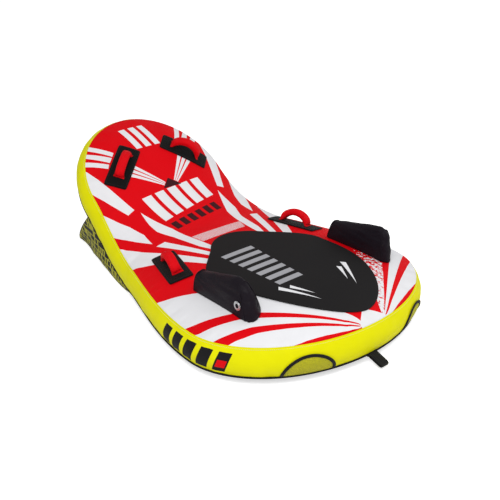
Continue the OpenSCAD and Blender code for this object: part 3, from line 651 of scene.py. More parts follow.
def makeDrainMesh():
    material, tree, shader = newMaterial("knittedMesh", {"Roughness": 0.7, "Specular IOR Level": 0.3})
    flat = flatCoordinates(tree)
    cells = addNode(tree, "ShaderNodeTexVoronoi", {"Vector": flat, "Scale": drainKnit["count"],
                                                    "Randomness": drainKnit["uneven"]})
    shadedHole = addNode(tree, "ShaderNodeMath", {0: cells.outputs["Distance"], 1: drainKnit["shadedHole"]},
                   operation="LESS_THAN").outputs[0]
    # Dark olive where the holes are: painted shade of the hollow behind the knit
    ink = addNode(tree, "ShaderNodeMix", {0: shadedHole, 6: srgb("#c9c41a"), 7: srgb("#5a5712")},
                  data_type="RGBA").outputs[2]
    tree.links.new(ink, shader.inputs["Base Color"])
    bump = addNode(tree, "ShaderNodeBump", {"Height": cells.outputs["Distance"], "Distance": drainKnit["depth"],
                                            "Strength": 0.8})
    tree.links.new(bump.outputs["Normal"], shader.inputs["Normal"])
    return material


printedCover = makePrintedCover()
yellowBand = makeBand()
riserPrint = makeRiser()
# Undersides: coated cloth like the cover's, dyed black
blackCover = makeCloth("blackPolyester", "#1f1f21", roughness=0.55, pitch=coated["pitch"], depth=0.00012)
seatFoam = makeSeatFoam()
# Woven webbing: dull, with ribs across it
redWebbing = makeCloth("redWebbing", "#ea0012", roughness=0.6, pitch=0.0022, depth=0.0005, ribs=(0.4, 1), sheen=0.0)
blackWebbing = makeCloth("blackWebbing", "#1c1c1e", roughness=0.6, pitch=0.0022, depth=0.0005, ribs=(0.6, 1))
# Knuckle pads: heavy nylon in a coarse plain weave
padFabric = makeCloth("ballisticNylon", "#0e1010", roughness=0.62, pitch=0.0024, depth=0.0004)
# Bolsters: thin smooth nylon with a soft gloss
bolsterNylon = makeCloth("bolsterNylon", "#1c171e", roughness=0.44, pitch=0.0014, depth=0.0001, sheen=0.0,
                         specular=0.085)
drainMesh = makeDrainMesh()
# Spun polyester thread: matt, without a gloss of its own
thread = makePlain("polyesterThread", "#d8d4c8", roughness=0.6)
darkThread = makePlain("blackThread", "#2c2c2e", roughness=0.6)
# Nickel plating: bright, with fairly sharp reflections
steel = makePlain("nickelPlatedSteel", "#c4c6c8", roughness=0.25, metallic=1.0)
# Moulded plastic: an even half gloss
valvePlastic = makePlain("valvePlastic", "#1d1d1f", roughness=0.42)
zipPlastic = makePlain("zipPlastic", "#202022", roughness=0.4)
# Calendered vinyl film: smooth and a little glossy
bladderFilm = makePlain("vinylFilm", "#4a4d52", roughness=0.35)
print("materials made")

# Top panel

topPanel = {"columns": 170, "rows": 250, "thickness": 0.0018}


def topCoordinates(u, v):
    a, b = squareToDisc(u, v)
    s = -cover["noseLen"] + (headTip + cover["noseLen"]) * (b + 1) / 2
    return a / math.sqrt(max(1 - b * b, 1e-9)) * halfWidth(s), s


def topPlace(u, v):
    x, s = topCoordinates(u, v)
    q = min(reach(x, s), 1.0)
    anchor, depth = seamAnchor(x, s)
    h = topHeight(q) + gather(anchor, depth) + swing(Vector((x, s, 0))) * (1 - q ** 6)
    return bend(x, s, h)


bm = laidGrid(topPanel["columns"], topPanel["rows"], topPlace, topCoordinates)
piece = addPiece("top_cover", bm, printedCover, ["top_panel"],
                 thickness=topPanel["thickness"])

# Side band

band = {"columns": 720, "rows": 18, "thickness": 0.0018, "height": 0.147, "foldShare": 0.8}
lowSeam = Vector((0, 0, 3))  # another part of the noise, for the folds along the lower seam


# A point of the swollen band over a place on the rim: t runs from 0 at the upper seam to 1 at the lower one.
def bandOver(p, out, t, lift):
    p = p + out * (cover["swell"] * 4 * t * (1 - t) + lift)
    return bend(p.x, p.y, seamHigh + (seamLow - seamHigh) * t)


def bandPoint(u, t, lift):
    return bandOver(*alongRim(u), t, lift)


def bandPlace(u, v):
    t = (1 - v) / 2
    p, out = alongRim(u)
    folds = gather(p, t * band["height"]) + gather(p + lowSeam, (1 - t) * band["height"])
    return bandOver(p, out, t, band["foldShare"] * folds)


bm = laidGrid(band["columns"], band["rows"], bandPlace,
              lambda u, v: (u * rimLength / 2, (1 + v) / 2 * band["height"]))
piece = addPiece("side_band_cover", bm, yellowBand, ["side_band"], thickness=band["thickness"])

# Bottom panels and the bound edge

bottom = {"columns": 60, "rows": 80, "thickness": 0.0025, "split": 0.690, "swingShare": 0.5, "noiseLayer": 5}


def bottomPlace(x, s):
    q = min(reach(x, s), 1.0)
    sway = swing(Vector((x, s, bottom["noiseLayer"]))) * (1 - q) * bottom["swingShare"]
    return bend(x, s, lowHeight(q) + sway)


def deckStation(v):
    return -cover["noseLen"] * math.cos(math.radians(90 * (v + 1))) if v < 0 else bottom["split"] * v


def backStation(v):
    if v < 0:
        return bottom["split"] + (cover["arcGap"] - bottom["split"]) * (v + 1)
    return cover["arcGap"] + cover["headLen"] * math.sin(math.radians(90 * v))


for name, station, node, area in (("deck_underside", deckStation, "deck_bottom_panel", 1.22),
                                  ("back_underside", backStation, "back_bottom_panel", 0.62)):
    bm = laidGrid(bottom["columns"], bottom["rows"],
                  lambda u, v: bottomPlace(-u * halfWidth(station(v)), station(v)),
                  lambda u, v: (-u * halfWidth(station(v)), station(v)))
    piece = addPiece(name, bm, blackCover, [node], thickness=bottom["thickness"])

edge = {"radius": 0.0050, "steps": 480, "out": 0.003}
marks = [-1 + 2 * i / edge["steps"] for i in range(edge["steps"])]
path = [bandPoint(u, 1.0, edge["out"]) for u in marks]
ups = [outAt(alongRim(u)[0].y) for u in marks]
radii = [edge["radius"]] * len(path)
bm = sweep(path, ups, radii, radii, sides=10, closed=True)
addPiece("bottom_edge_binding", bm, blackWebbing, ["bottom_binding"])

topStitch = {"steps": 900, "down": 0.05, "out": 0.0012, "up": 0.010}
marks = [-1 + 2 * i / topStitch["steps"] for i in range(topStitch["steps"] + 1)]
path = [bandPoint(u, topStitch["down"], topStitch["out"]) for u in marks]
tips = [bandPoint(u, topStitch["down"], topStitch["out"] + topStitch["up"]) for u in marks]
bm = stitchRow(path, [tip - p for p, tip in zip(path, tips)])
addPiece("top_seam_stitching", bm, thread)
print("cover made")

# Riser under the backrest

# Under is the share of the sleeve's grid that lies on the ground. Each row of folds has its own layer of the noise.
riser = {"front": 0.690, "rear": 1.163, "frontHalf": 0.438, "rearHalf": 0.296, "swell": 0.014, "fullSwell": 0.15,
         "lean": 0.081, "under": 0.4, "sink": 0.005, "tuck": 0.002, "foldLayers": (2, 4), "foldDepths": (0.3, 0.2),
         "topFolds": 0.8, "columns": 160, "rows": 80, "thickness": 0.0018}
rearPanel = {"columns": 70, "rows": 50, "flatHalf": (0.35, 0.2), "gap": 0.0034, "thickness": 0.0018}
riserTop = -cover["deckHeight"] + cover["belly"] - riser["sink"]


def riserGround(s):
    return riser["frontHalf"] + (riser["rearHalf"] - riser["frontHalf"]) * ease(
        (s - riser["front"]) / (riser["rear"] - riser["front"]))


def riserStation(v):
    return riser["rear"] + (riser["front"] - riser["rear"]) * (1 - v) / 2


def leanStation(s):
    return s - riser["lean"] * (s - riser["front"]) / (riser["rear"] - riser["front"])


# The station at height h of the leaning row over the foot at station s.
def rowStation(s, h):
    ground = groundHeight(s)
    return s - (s - leanStation(s)) * (h - ground) / (riserTop - ground)


def riserSide(s, v):
    tall = riserTop - groundHeight(s)
    puff = riser["swell"] * min(1, tall / riser["fullSwell"]) * 4 * v * (1 - v)
    wide = halfWidth(leanStation(s)) - riser["tuck"]
    return wide + (riserGround(s) - wide) * v + puff, riserTop - tall * v


def riserPlace(u, v):
    s = riserStation(v)
    side, share = math.copysign(1, u), abs(u)
    if share > riser["under"]:
        down = (1 - share) / (1 - riser["under"])
        x, h = riserSide(s, down)
        high, low = [Vector((s, side * layer, 0)) for layer in riser["foldLayers"]]
        fold = gather(high, down * riser["foldDepths"][0]) * riser["topFolds"]
        fold += gather(low, (1 - down) * riser["foldDepths"][1])
        return bend(side * (x + fold), rowStation(s, h), h)
    return bend(side * riserGround(s) * share / riser["under"], s, groundHeight(s))


# The sleeve's pattern is unrolled: its sides as they stand, and below them what lies on the ground.
def riserFlat(u, v):
    p = riserPlace(u, v)
    s = riserStation(v)
    return (p.y, p.z - riserGround(s) * max(0.0, 1 - abs(u) / riser["under"]))


bm = laidGrid(riser["columns"], riser["rows"], riserPlace, riserFlat)
bmesh.ops.reverse_faces(bm, faces=bm.faces)
piece = addPiece("riser_wrap", bm, riserPrint, ["riser_cover"],
                 thickness=riser["thickness"])

rearFoot = groundHeight(riser["rear"])
rearTilt = math.atan2(riser["lean"], riserTop - rearFoot)
back = Vector((0, math.cos(cover["recline"] + rearTilt), math.sin(cover["recline"] + rearTilt)))
up = Vector((0, -back.z, back.y))


# A place on the riser's rear panel: x across, high up the panel from its foot, out from the panel's face.
def rearPoint(x, high, out):
    return bend(x, riser["rear"], rearFoot) + up * high + back * (rearPanel["gap"] + out)


def rearPlace(u, v):
    down = (1 - v) / 2
    x, h = riserSide(riser["rear"], down)
    q = min(1.0, abs(u) * x / halfWidth(leanStation(riser["rear"])))
    top = (lowHeight(q) - riser["tuck"] - rearFoot) / math.cos(rearTilt)
    return rearPoint(u * x, top * (1 - down), 0)


bm = laidGrid(rearPanel["columns"], rearPanel["rows"], rearPlace,
              lambda u, v: (u * rearPanel["flatHalf"][0], v * rearPanel["flatHalf"][1]))
bmesh.ops.reverse_faces(bm, faces=bm.faces)
piece = addPiece("riser_back", bm, blackCover, ["riser_rear_panel"],
                 thickness=rearPanel["thickness"])

zipper = {"high": 0.252, "half": 0.210, "tape": 0.014, "tapeThick": 0.0012, "tapeOut": 0.0008, "tapeGap": 0.0026,
          "pitch": 0.0026, "toothOut": 0.0022, "toothApart": 0.0006, "toothShare": 0.27, "tooth": (0.0017, 0.001615)}
rearTurn = turnTo(Vector((1, 0, 0)), up, back)
tapeSize = Matrix.Diagonal((2 * zipper["half"], zipper["tape"], zipper["tapeThick"], 1))
bm = bmesh.new()
for side in (-1, 1):
    middle = rearPoint(0, zipper["high"] - side * (zipper["tapeGap"] + zipper["tape"] / 2), zipper["tapeOut"])
    bmesh.ops.create_cube(bm, size=1, matrix=Matrix.Translation(middle) @ rearTurn @ tapeSize)
unroll(bm, lambda co: (co.x, co.dot(up)))
addPiece("zip_tape_pair", bm, blackCover, ["zip_tapes"], crease=30)

toothSize = Matrix.Diagonal((zipper["pitch"] * zipper["toothShare"], *zipper["tooth"], 1))
bm = bmesh.new()
for i in range(round(2 * zipper["half"] / zipper["pitch"])):
    for side in (-1, 1):
        x = -zipper["half"] + zipper["pitch"] * (i + 0.5 + side * 0.25)
        middle = rearPoint(x, zipper["high"] + side * zipper["toothApart"], zipper["toothOut"])
        bmesh.ops.create_icosphere(bm, subdivisions=1, radius=1,
                                   matrix=Matrix.Translation(middle) @ rearTurn @ toothSize)
addPiece("zip_teeth", bm, zipPlastic, ["zip_coil"])
print("riser made")

# Seat pad

seat = {"half": 0.329, "front": 0.500, "s": 0.124, "end": 0.508, "endHalf": 0.105, "cap": 0.068,
        "taper": (0.090, 0.300), "askew": 0.055, "power": 1.81, "base": 0.001, "thick": 0.008, "wall": 0.003,
        "edge": 0.007, "radius": 0.36, "columns": 90, "rows": 110, "steps": 1201}
crowding = 1.7


# Crowds a grid's lines towards its edges, where a sheet is rounded off.
def crowd(u):
    return math.copysign(1 - (1 - abs(u)) ** crowding, u)


# Height of a sheet with a rounded edge over what it lies on, where d is the share of that edge that is passed.
def sheetLift(sheet, d):
    return sheet["base"] + sheet["wall"] + (sheet["thick"] - sheet["wall"]) * math.sqrt(1 - (1 - min(d, 1.0)) ** 2)


def seatWidth(s):
    return seat["half"] + (seat["endHalf"] - seat["half"]) * ease((s - seat["s"] - seat["taper"][0]) / seat["taper"][1])


def seatOutline(steps):
    turns = [rounded(math.radians(a), 2 / seat["power"]) for a in range(0, 91, 2)]
    half = [Vector((seat["half"] * b, seat["s"] - seat["front"] * a, 0)) for a, b in turns]
    sideEnd = seat["end"] - seat["cap"]
    half += [Vector((seatWidth(s), s, 0)) for s in
             (seat["s"] + (sideEnd - seat["s"]) * i / 60 for i in range(1, 61))]
    for a in range(2, 91, 2):
        s = sideEnd + seat["cap"] * math.sin(math.radians(a))
        half.append(Vector((seatWidth(s) * math.cos(math.radians(a)), s, 0)))
    outline = half + [Vector((-p.x, p.y, 0)) for p in reversed(half[:-1])]
    for p in outline:
        p.x += seat["askew"] * (seat["s"] - p.y)  # the pad is glued on a little askew
    return evenly(outline, steps)


seatRim = seatOutline(seat["steps"])
seatMiddle = Vector((0, seat["s"], 0))


def seatCoordinates(u, v):
    a, b = squareToDisc(u, v)
    r = crowd(min(math.hypot(a, b), 1.0))
    f = (math.atan2(a, -b) / (2 * math.pi) % 1.0) * (len(seatRim) - 1)
    i = min(int(f), len(seatRim) - 2)
    p = seatMiddle + (seatRim[i].lerp(seatRim[i + 1], f - i) - seatMiddle) * r
    return p, r


def seatPlace(u, v):
    p, r = seatCoordinates(u, v)
    return onTop(p.x, p.y, sheetLift(seat, (1 - r) * seat["radius"] / seat["edge"]))


bm = laidGrid(seat["columns"], seat["rows"], seatPlace, lambda u, v: seatCoordinates(u, v)[0].xy)
piece = addPiece("seat_foam", bm, seatFoam, ["seat_pad"], thickness=seat["wall"])
print("seat made")

# Handles on their knuckle pads

places = {"upper": (0.193, 1.195, math.radians(45)), "lower": (0.381, 0.438, math.radians(16))}
pad = {"length": 0.267, "width": 0.114, "thick": 0.006, "wall": 0.002, "base": 0.001, "edge": 0.005, "corner": 0.003,
       "columns": 72, "rows": 40, "stitchInset": 0.008, "stitchOut": 0.0003, "stitchUp": 0.01, "stitchSteps": 160}
# Half and thick are half sizes of the strap. Push and pull curve its ends.
grip = {"hinge": 0.019, "span": 0.132, "rise": 0.031, "archShare": 0.72, "half": 0.0230, "thick": 0.0172,
        "endHalf": 0.0285, "endThick": 0.0022, "endReach": 0.014, "endFlat": 0.003, "webThick": 0.0025, "gap": 0.0004,
        "crossStep": 0.02, "push": 0.012, "pull": 0.030, "steps": 12, "soft": (-0.0195, 0.0005)}
tailLift = pad["base"] + pad["thick"] + grip["gap"]


def onPad(place, a, b, lift):
    x = place[0] - a * math.sin(place[2]) + b * math.cos(place[2])
    s = place[1] + a * math.cos(place[2]) + b * math.sin(place[2])
    return onTop(x, s, lift)


def padCoordinates(u, v):
    a, b = crowd(u), crowd(v)
    return (a * (pad["length"] / 2 - pad["corner"] * abs(b) ** 9),
            b * (pad["width"] / 2 - pad["corner"] * abs(a) ** 20))


def padPlace(place, u, v):
    a, b = padCoordinates(u, v)
    d = min((1 - abs(crowd(u))) * pad["length"] / 2, (1 - abs(crowd(v))) * pad["width"] / 2) / pad["edge"]
    return onPad(place, a, b, sheetLift(pad, d))


# The frame of a handle's hinge: x runs from foot to foot and z away from the pad.
def handleFrame(place):
    rise = tailLift + grip["webThick"] + grip["gap"] + grip["hinge"]
    a = onPad(place, -grip["span"] / 2, 0, 0)
    b = onPad(place, grip["span"] / 2, 0, 0)
    across = onPad(place, 0, grip["crossStep"], 0) - onPad(place, 0, -grip["crossStep"], 0)
    n = across.cross(b - a).normalized()
    x = (b - a).normalized()
    z = (n - x * n.dot(x)).normalized()
    return Matrix.Translation((a + b) / 2 + n * rise) @ turnTo(x, z.cross(x), z)


# One end of a handle's middle line: its cut end on the pad, then up in a curve to where the arch begins.
def handleEnd(place, end, first, ahead):
    cut = grip["span"] / 2 + grip["endReach"]
    cutEnd, flatEnd = [onPad(place, end * a, 0, tailLift + grip["endThick"]) for a in (cut, cut - grip["endFlat"])]
    push = flatEnd + (flatEnd - cutEnd).normalized() * grip["push"]
    pull = first - ahead * grip["pull"]
    points = [(cutEnd, 0.0)]
    for i in range(grip["steps"]):
        k = i / grip["steps"]
        p = (flatEnd * (1 - k) ** 3 + push * (3 * k * (1 - k) ** 2) + pull * (3 * k * k * (1 - k)) + first * k ** 3)
        points.append((p, math.sin(k * math.pi / 2)))
    return points


# The handle's middle line, from its cut end over the hand's gap to the other end, with the share of padding in it.
def handlePath(place, spot):
    foot = grip["span"] / 2
    radius = (foot ** 2 + grip["rise"] ** 2) / (2 * grip["rise"])
    begin = grip["archShare"] * math.asin(foot / radius)
    turn = spot.to_3x3()
    arch = []
    for i in range(2 * grip["steps"] + 1):
        a = begin * (i / grip["steps"] - 1)
        arch.append((spot @ Vector((radius * math.sin(a), 0, grip["rise"] - radius * (1 - math.cos(a)))), 1.0))
    rising = turn @ Vector((math.cos(begin), 0, math.sin(begin)))
    falling = turn @ Vector((-math.cos(begin), 0, math.sin(begin)))
    farEnd = handleEnd(place, 1, arch[-1][0], falling)
    return handleEnd(place, -1, arch[0][0], rising) + arch + farEnd[::-1]


for row, place in places.items():
    for sideName, side in handed.items():
        base = sideName + "_" + row
        bm = laidGrid(pad["columns"], pad["rows"], lambda u, v: padPlace(place, v, u),
                      lambda u, v: padCoordinates(v, u)[::-1])
        piece = addPiece(base + "_pad", mirrored(bm, side), padFabric, [base + "_knuckle_pad"],
                         thickness=pad["wall"])

        long, wide = pad["length"] / 2 - pad["stitchInset"], pad["width"] / 2 - pad["stitchInset"]
        corners = [Vector((a * long, b * wide, 0)) for a, b in ((-1, -1), (1, -1), (1, 1), (-1, 1), (-1, -1))]
        flatLine = evenly(corners, pad["stitchSteps"])
        path = [onPad(place, p.x, p.y, pad["base"] + pad["thick"] + pad["stitchOut"]) for p in flatLine]
        ups = [onPad(place, p.x, p.y, pad["stitchUp"]) - onPad(place, p.x, p.y, 0) for p in flatLine]
        bm = stitchRow(path, ups)
        addPiece(base + "_pad_stitching", mirrored(bm, side), darkThread)

        spot = handleFrame(place)
        line = handlePath(place, spot)
        path = [p for p, k in line]
        across = spot.to_3x3() @ Vector((0, 1, 0))
        ups = [across.cross(path[min(i + 1, len(path) - 1)] - path[max(i - 1, 0)]) for i in range(len(path))]
        wide = [grip["endHalf"] + (grip["half"] - grip["endHalf"]) * k for p, k in line]
        tall = [grip["endThick"] + (grip["thick"] - grip["endThick"]) * k for p, k in line]
        bm = sweep(path, ups, wide, tall, power=0.75, sides=40)
        nodes = [base + "_handle_" + part for part in ("sleeve", "tails", "core")]
        piece = addPiece(base + "_strap", mirrored(bm, side), redWebbing, nodes, body=None)
        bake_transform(piece)

print("handles made")

# Bolsters beside the seat

bolster = {"x": 0.406, "half": 0.037, "rearDepth": 0.030, "rearDrop": 0.22, "frontDrop": 0.22, "base": 0.001,
           "power": 0.62, "skinShare": 0.76, "columns": 84, "steps": (8, 50, 14), "voxel": 0.005, "frames": 20,
           "most": 0.007, "seams": (-0.25, 1.36), "seamHold": 0.0045, "footHold": 0.004, "fold": 0.0034,
           "foldFoot": 0.01, "foldFull": 0.04, "foldScales": ((34, 7, 34), (60, 14, 60))}
# Light nylon, held where it is sewn and filled from inside
bolsterCloth = {"quality": 6, "mass": 0.2, "tension_stiffness": 12, "compression_stiffness": 12, "shear_stiffness": 5,
                "bending_stiffness": 0.5, "vertex_group_mass": "sewn", "use_pressure": True,
                "uniform_pressure_force": 4.0}
piping = {"radius": 0.0026, "steps": 120, "tip": 0.15, "taper": 8}
# The soft bolsters stand a little differently: the right one's front leans back and its inner foot spreads.
bolsterSides = {
    "left": {"rearS": 0.190, "frontS": -0.116, "rearLean": 0.026, "frontLean": 0.016, "frontDepth": 0.046,
             "spread": 0.0, "rearHigh": 0.095, "frontHigh": 0.154},
    "right": {"rearS": 0.184, "frontS": -0.100, "rearLean": 0.008, "frontLean": 0.052, "frontDepth": 0.068,
              "spread": 0.030, "rearHigh": 0.084, "frontHigh": 0.142},
}


# A point of the bolster's skin: along runs -1 to 0 in the rounded rear end, to 1 in the body and to 2 in the front end.
def bolsterPoint(stand, along, angle, base=None):
    v = min(max(along, 0.0), 1.0)
    turn = (along - v) * math.pi / 2
    c, sine = -math.cos(angle), max(math.sin(angle), 0.0)
    px = math.copysign(abs(c) ** bolster["power"], c)
    py = sine ** bolster["power"]
    if base is not None:
        px, py = base, 0.0
    drop, depth = bolster["frontDrop"], stand["frontDepth"]
    if turn < 0:
        drop, depth = bolster["rearDrop"], bolster["rearDepth"]
    tall = stand["rearHigh"] + (stand["frontHigh"] - stand["rearHigh"]) * v
    lift = tall * py * (1 - drop * (1 - math.cos(turn)))
    share = lift / tall
    rear = stand["rearS"] - stand["rearLean"] * share
    front = stand["frontS"] + stand["frontLean"] * share ** 1.5
    s = rear + (front - rear) * v - depth * math.sin(turn)
    half = bolster["half"] + (stand["spread"] * v * v * (1 - share) if px < 0 else 0.0)
    x = bolster["x"] + half * max(math.cos(turn), 0.0) * px
    return onTop(x, s) + Vector((0, 0, bolster["base"] + lift))


rearSteps, bodySteps, frontSteps = bolster["steps"]
bolsterRows = [-1 + i / rearSteps for i in range(rearSteps)] + [i / bodySteps for i in range(bodySteps)]
bolsterRows += [1 + i / frontSteps for i in range(frontSteps + 1)]


def bolsterPlace(stand, u, v):
    along = bolsterRows[round((v + 1) / 2 * (len(bolsterRows) - 1))]
    around = (u + 1) / 2
    skin = bolster["skinShare"]
    if around < skin:
        return bolsterPoint(stand, along, math.pi * around / skin)
    return bolsterPoint(stand, along, 0, base=1 - 2 * (around - skin) / (1 - skin))


# The sewn lines round the bolster's two ends, over half a turn in steps of 2 degrees.
def bolsterSeams(stand):
    return [[bolsterPoint(stand, along, math.radians(2 * i)) for i in range(91)] for along in bolster["seams"]]


# Soft folds that run along the bolster, dying out towards its foot.
def bolsterFold(p):
    high = min(1.0, max(0.0, p.z - onTop(p.x, p.y).z - bolster["foldFoot"]) / bolster["foldFull"])
    coarse, fine = [noise.noise(p * Vector(scale)) for scale in bolster["foldScales"]]
    return bolster["fold"] * high * (coarse + 0.5 * fine)


# Fills the bolster's cloth from inside, up to a most, and adds the folds.
def simulate(piece, seamLines):
    before = [v.co.copy() for v in piece.data.vertices]
    points = [p for line in seamLines for p in line]
    tree = KDTree(len(points))
    for i, p in enumerate(points):
        tree.insert(p, i)
    tree.balance()
    held = [v.index for v in piece.data.vertices if tree.find(v.co)[2] < bolster["seamHold"]
            or v.co.z < onTop(v.co.x, v.co.y).z + bolster["footHold"]]
    piece.vertex_groups.new(name=bolsterCloth["vertex_group_mass"]).add(held, 1.0, "REPLACE")
    cloth = piece.modifiers.new("air", "CLOTH")
    for key, value in bolsterCloth.items():
        setattr(cloth.settings, key, value)
    cloth.settings.effector_weights.gravity = 0
    cloth.point_cache.frame_start = 1
    cloth.point_cache.frame_end = bolster["frames"]
    for f in range(1, bolster["frames"] + 1):
        scene.frame_set(f)
    shaped = piece.evaluated_get(bpy.context.evaluated_depsgraph_get()).to_mesh()
    moved = []
    for old, vert in zip(before, shaped.vertices):
        step = vert.co - old
        moved.append(old + step * min(1.0, bolster["most"] / max(step.length, 1e-9)))
    piece.modifiers.remove(cloth)
    piece.vertex_groups.clear()
    for vert, co in zip(piece.data.vertices, moved):
        vert.co = co + vert.normal * bolsterFold(co)
    scene.frame_set(1)
    print("bolster filled:", round(max((a - b).length for a, b in zip(before, moved)) * 1000, 1), "mm at most")


# The bolster's closed form in even squares, on which the cloth is filled.
def bolsterForm(stand):
    bm = laidGrid(bolster["columns"], len(bolsterRows) - 1, lambda u, v: bolsterPlace(stand, u, v),
                  lambda u, v: (u, v))
    closeEnds(bm)
    bmesh.ops.recalc_face_normals(bm, faces=bm.faces)
    form = addObject("bolster_form", toMesh("bolster_form", bm))
    remesh = form.modifiers.new("even", "REMESH")
    remesh.mode = "VOXEL"
    remesh.voxel_size = bolster["voxel"]
    even = bpy.data.meshes.new_from_object(form.evaluated_get(bpy.context.evaluated_depsgraph_get()))
    form.modifiers.clear()
    form.data = even
    simulate(form, bolsterSeams(stand))
    return form


for sideName, side in handed.items():
    base = sideName + "_bolster"
    stand = bolsterSides[sideName]
    form = bolsterForm(stand)
    bm = bmesh.new()
    bm.from_mesh(form.data)
    bpy.data.objects.remove(form)
    unroll(bm, lambda co: (co.x + co.z, co.y))
    nodes = [base + "_" + part for part in ("sleeve", "front_cap", "rear_cap", "core")]
    piece = addPiece(base, mirrored(bm, side), bolsterNylon, nodes, crease=180)
    smooth = piece.modifiers.new("smooth", "SUBSURF")
    smooth.levels = smooth.render_levels = 1
    for i, line in enumerate(bolsterSeams(stand)):
        path = evenly(line, piping["steps"])
        fromFoot = [min(j, len(path) - 1 - j) for j in range(len(path))]
        radii = [piping["radius"] * min(1.0, piping["tip"] + j / piping["taper"]) for j in fromFoot]
        bm = sweep(path, [Vector((0, 1, 0))] * len(path), radii, radii, sides=10)
        addPiece(base + "_piping_" + str(i + 1), mirrored(bm, side), bolsterNylon)
print("bolsters made")

# Drain vents in the front quarters of the band

vent = {"angle": 30.5, "half": 11.2, "top": 0.3, "netShare": 0.96, "netFoot": 0.985, "netOut": 0.0022,
        "netHalf": (0.12, 0.05), "columns": 48, "rows": 24, "thickness": 0.001, "edgeFoot": 0.975, "edgeOut": 0.004,
        "edgeUp": 0.02, "edgeHalf": 0.0070, "edgeThick": 0.0028, "steps": 60}


# A point of the band round the nose, at an angle from straight ahead.
def onBand(a, t, lift):
    p = Vector((cover["deckHalf"] * math.sin(a), -cover["noseLen"] * math.cos(a), 0))
    out = Vector((math.sin(a) / cover["deckHalf"], -math.cos(a) / cover["noseLen"], 0)).normalized()
    return bandOver(p, out, t, lift)


def ventTop(share):
    return 1 - (1 - vent["top"]) * math.sqrt(max(0.0, 1 - share * share))


def ventPlace(u, v):
    share = u * vent["netShare"]
    a = math.radians(vent["angle"] + vent["half"] * share)
    return onBand(a, vent["netFoot"] + (ventTop(share) - vent["netFoot"]) * (v + 1) / 2, vent["netOut"])


for sideName, side in handed.items():
    base = sideName + "_drain"
    bm = laidGrid(vent["columns"], vent["rows"], ventPlace,
                  lambda u, v: (u * vent["netHalf"][0], v * vent["netHalf"][1]))
    piece = addPiece(base + "_net", mirrored(bm, side), drainMesh, [base + "_mesh"],
                     thickness=vent["thickness"])
    shares = [math.cos(math.pi * i / vent["steps"]) for i in range(vent["steps"] + 1)]
    angles = [math.radians(vent["angle"] + vent["half"] * c) for c in shares]
    heights = [min(vent["edgeFoot"], ventTop(c)) for c in shares]
    path = [onBand(a, t, vent["edgeOut"]) for a, t in zip(angles, heights)]
    ups = [onBand(a, t, vent["edgeUp"]) - onBand(a, t, 0.0) for a, t in zip(angles, heights)]
    wide, tall = [vent["edgeHalf"]] * len(path), [vent["edgeThick"]] * len(path)
    bm = sweep(path, ups, wide, tall, power=0.6, sides=16)
    addPiece(base + "_edge", mirrored(bm, side), blackWebbing, [base + "_binding"])

# Tow loop and its anchor strip

tow = {"y": -0.446, "z": 0.038, "length": 0.066, "bend": 0.005, "thick": 0.003, "half": 0.025,
       "droop": math.radians(18), "narrow": 0.006, "narrowFrom": 0.010, "narrowOver": 0.015, "straightSteps": 8,
       "anchorSteps": 24,
       "anchor": [(-0.354, 0.0055), (-0.390, 0.017), (-0.410, 0.026), (-0.424, 0.0325), (-0.4394, 0.0335)]}
steps = [math.radians(10 * i) for i in range(19)]  # half a turn round each end of the loop
shares = [i / tow["straightSteps"] for i in range(1, tow["straightSteps"])]
loop = [Vector((0, tow["bend"] * math.sin(a), tow["bend"] * math.cos(a))) for a in steps]
loop += [Vector((0, -tow["length"] * share, -tow["bend"])) for share in shares]
loop += [Vector((0, -tow["length"] - tow["bend"] * math.sin(a), -tow["bend"] * math.cos(a))) for a in steps]
loop += [Vector((0, -tow["length"] * (1 - share), tow["bend"])) for share in shares]
turn = Matrix.Translation((0, tow["y"], tow["z"])) @ Matrix.Rotation(tow["droop"], 4, "X")
path = [turn @ p for p in loop]
middles = [turn @ Vector((0, min(0, max(-tow["length"], p.y)), 0)) for p in loop]
pinch = [max(0.0, (-p.y - tow["length"] + tow["narrowFrom"]) / tow["narrowOver"]) for p in loop]
wide = [tow["half"] - tow["narrow"] * share ** 2 for share in pinch]  # the loop is pinched at its front
bm = sweep(path, [p - m for p, m in zip(path, middles)], wide, [tow["thick"] / 2] * len(path),
           power=0.3, sides=28, closed=True)
addPiece("tow_loop", bm, blackWebbing, ["tow_strap"], body="tow_strap")

count = tow["anchorSteps"]
line = evenly([Vector((0, y, z - tow["thick"] / 2)) for y, z in tow["anchor"]], count)
bm = sweep(line, [Vector((0, 0, 1))] * count, [tow["half"]] * count, [tow["thick"] / 2] * count, power=0.3, sides=28)
addPiece("tow_anchor_strip", bm, blackWebbing, ["tow_anchor"])
print("drains and tow loop made")

# CAD pieces that stay: metal, moulded plastic, and what lies inside

finishes = {
    "main_valve_base": valvePlastic, "main_valve_cap": valvePlastic, "riser_valve_base": valvePlastic,
    "riser_valve_cap": valvePlastic, "zip_slider": steel, "zip_pull": steel, "left_bolster_eyelet": steel,
    "right_bolster_eyelet": steel, "main_bladder": bladderFilm, "riser_bladder": bladderFilm,
}
for name, material in finishes.items():
    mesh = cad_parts[name].data
    mesh.materials.clear()
    mesh.materials.append(material)

# Floor, light and camera

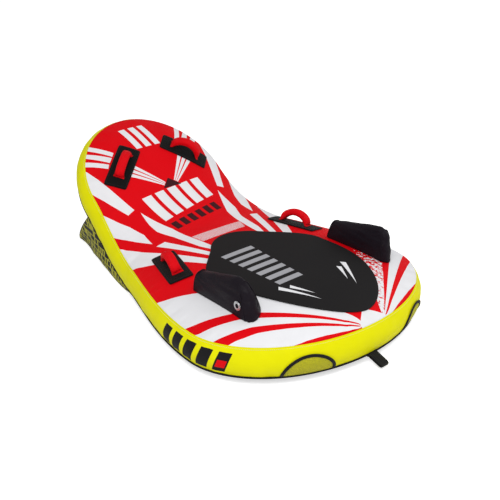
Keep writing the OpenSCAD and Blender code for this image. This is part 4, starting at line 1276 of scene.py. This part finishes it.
studio = {"floor": "#fafafa", "floorSize": 40, "floorHeight": -0.002, "world": 0.45, "glow": 0.62,
          "lampSize": 2.6, "target": (0, 0.5, 0.2),
          "lamps": {"keyLight": ((-2.6, -2.2, 4.2), 145.0), "fillLight": ((3.4, -1.6, 2.6), 42.0)}}
floorMaterial, tree, shader = newMaterial("paperFloor", {"Base Color": srgb(studio["floor"]), "Roughness": 0.9,
                                                         "Specular IOR Level": 0.1, "Emission Color": (1, 1, 1, 1)})
rays = addNode(tree, "ShaderNodeLightPath")
glow = addNode(tree, "ShaderNodeMath", {0: rays.outputs["Is Camera Ray"], 1: studio["glow"]},
               operation="MULTIPLY").outputs[0]
tree.links.new(glow, shader.inputs["Emission Strength"])
bm = bmesh.new()
bmesh.ops.create_grid(bm, x_segments=1, y_segments=1, size=studio["floorSize"],
                      matrix=Matrix.Translation((0, 0, studio["floorHeight"])))
floor = addObject("floor", toMesh("floor", bm))
floor.data.materials.append(floorMaterial)

world = bpy.data.worlds.new("studio")
world.use_nodes = True
scene.world = world
tree = world.node_tree
tree.nodes.clear()
rays = addNode(tree, "ShaderNodeLightPath")
seen = addNode(tree, "ShaderNodeMath", {0: rays.outputs["Is Camera Ray"], 1: rays.outputs["Is Transmission Ray"]},
               operation="MAXIMUM").outputs[0]
level = addNode(tree, "ShaderNodeMix", {0: seen, 2: studio["world"], 3: 1.0}, data_type="FLOAT").outputs[0]
sky = addNode(tree, "ShaderNodeBackground", {"Color": (1, 1, 1, 1), "Strength": level})
addNode(tree, "ShaderNodeOutputWorld", {"Surface": sky.outputs[0]})

for name, (place, power) in studio["lamps"].items():
    light = bpy.data.lights.new(name, "AREA")
    light.shape = "DISK"
    light.size = studio["lampSize"]
    light.energy = power
    lamp = addObject(name, light)
    lamp.location = place
    lamp.rotation_euler = (Vector(studio["target"]) - Vector(place)).to_track_quat("-Z", "Y").to_euler()

lens = {"azimuth": math.radians(-40.4544), "elevation": math.radians(25.2174), "focal": 58.56,
        "distance": 4.1563, "shift": (-0.3034, 0.1446), "aim": Vector((0, 0.809, 0.225))}
a, e = lens["azimuth"], lens["elevation"]
backward = Vector((math.sin(a) * math.cos(e), -math.cos(a) * math.cos(e), math.sin(e)))
rightward = Vector((math.cos(a), math.sin(a), 0))
upward = backward.cross(rightward)
eye = lens["aim"] - rightward * lens["shift"][0] - upward * lens["shift"][1] + backward * lens["distance"]
camera = bpy.data.cameras.new("camera")
camera.lens = lens["focal"]
camera.sensor_width = 36
camera.clip_end = 100
cameraObject = addObject("camera", camera)
cameraObject.matrix_world = Matrix.Translation(eye) @ turnTo(rightward, upward, backward)
scene.camera = cameraObject
scene.view_settings.view_transform = "Standard"
print("stage and camera set")
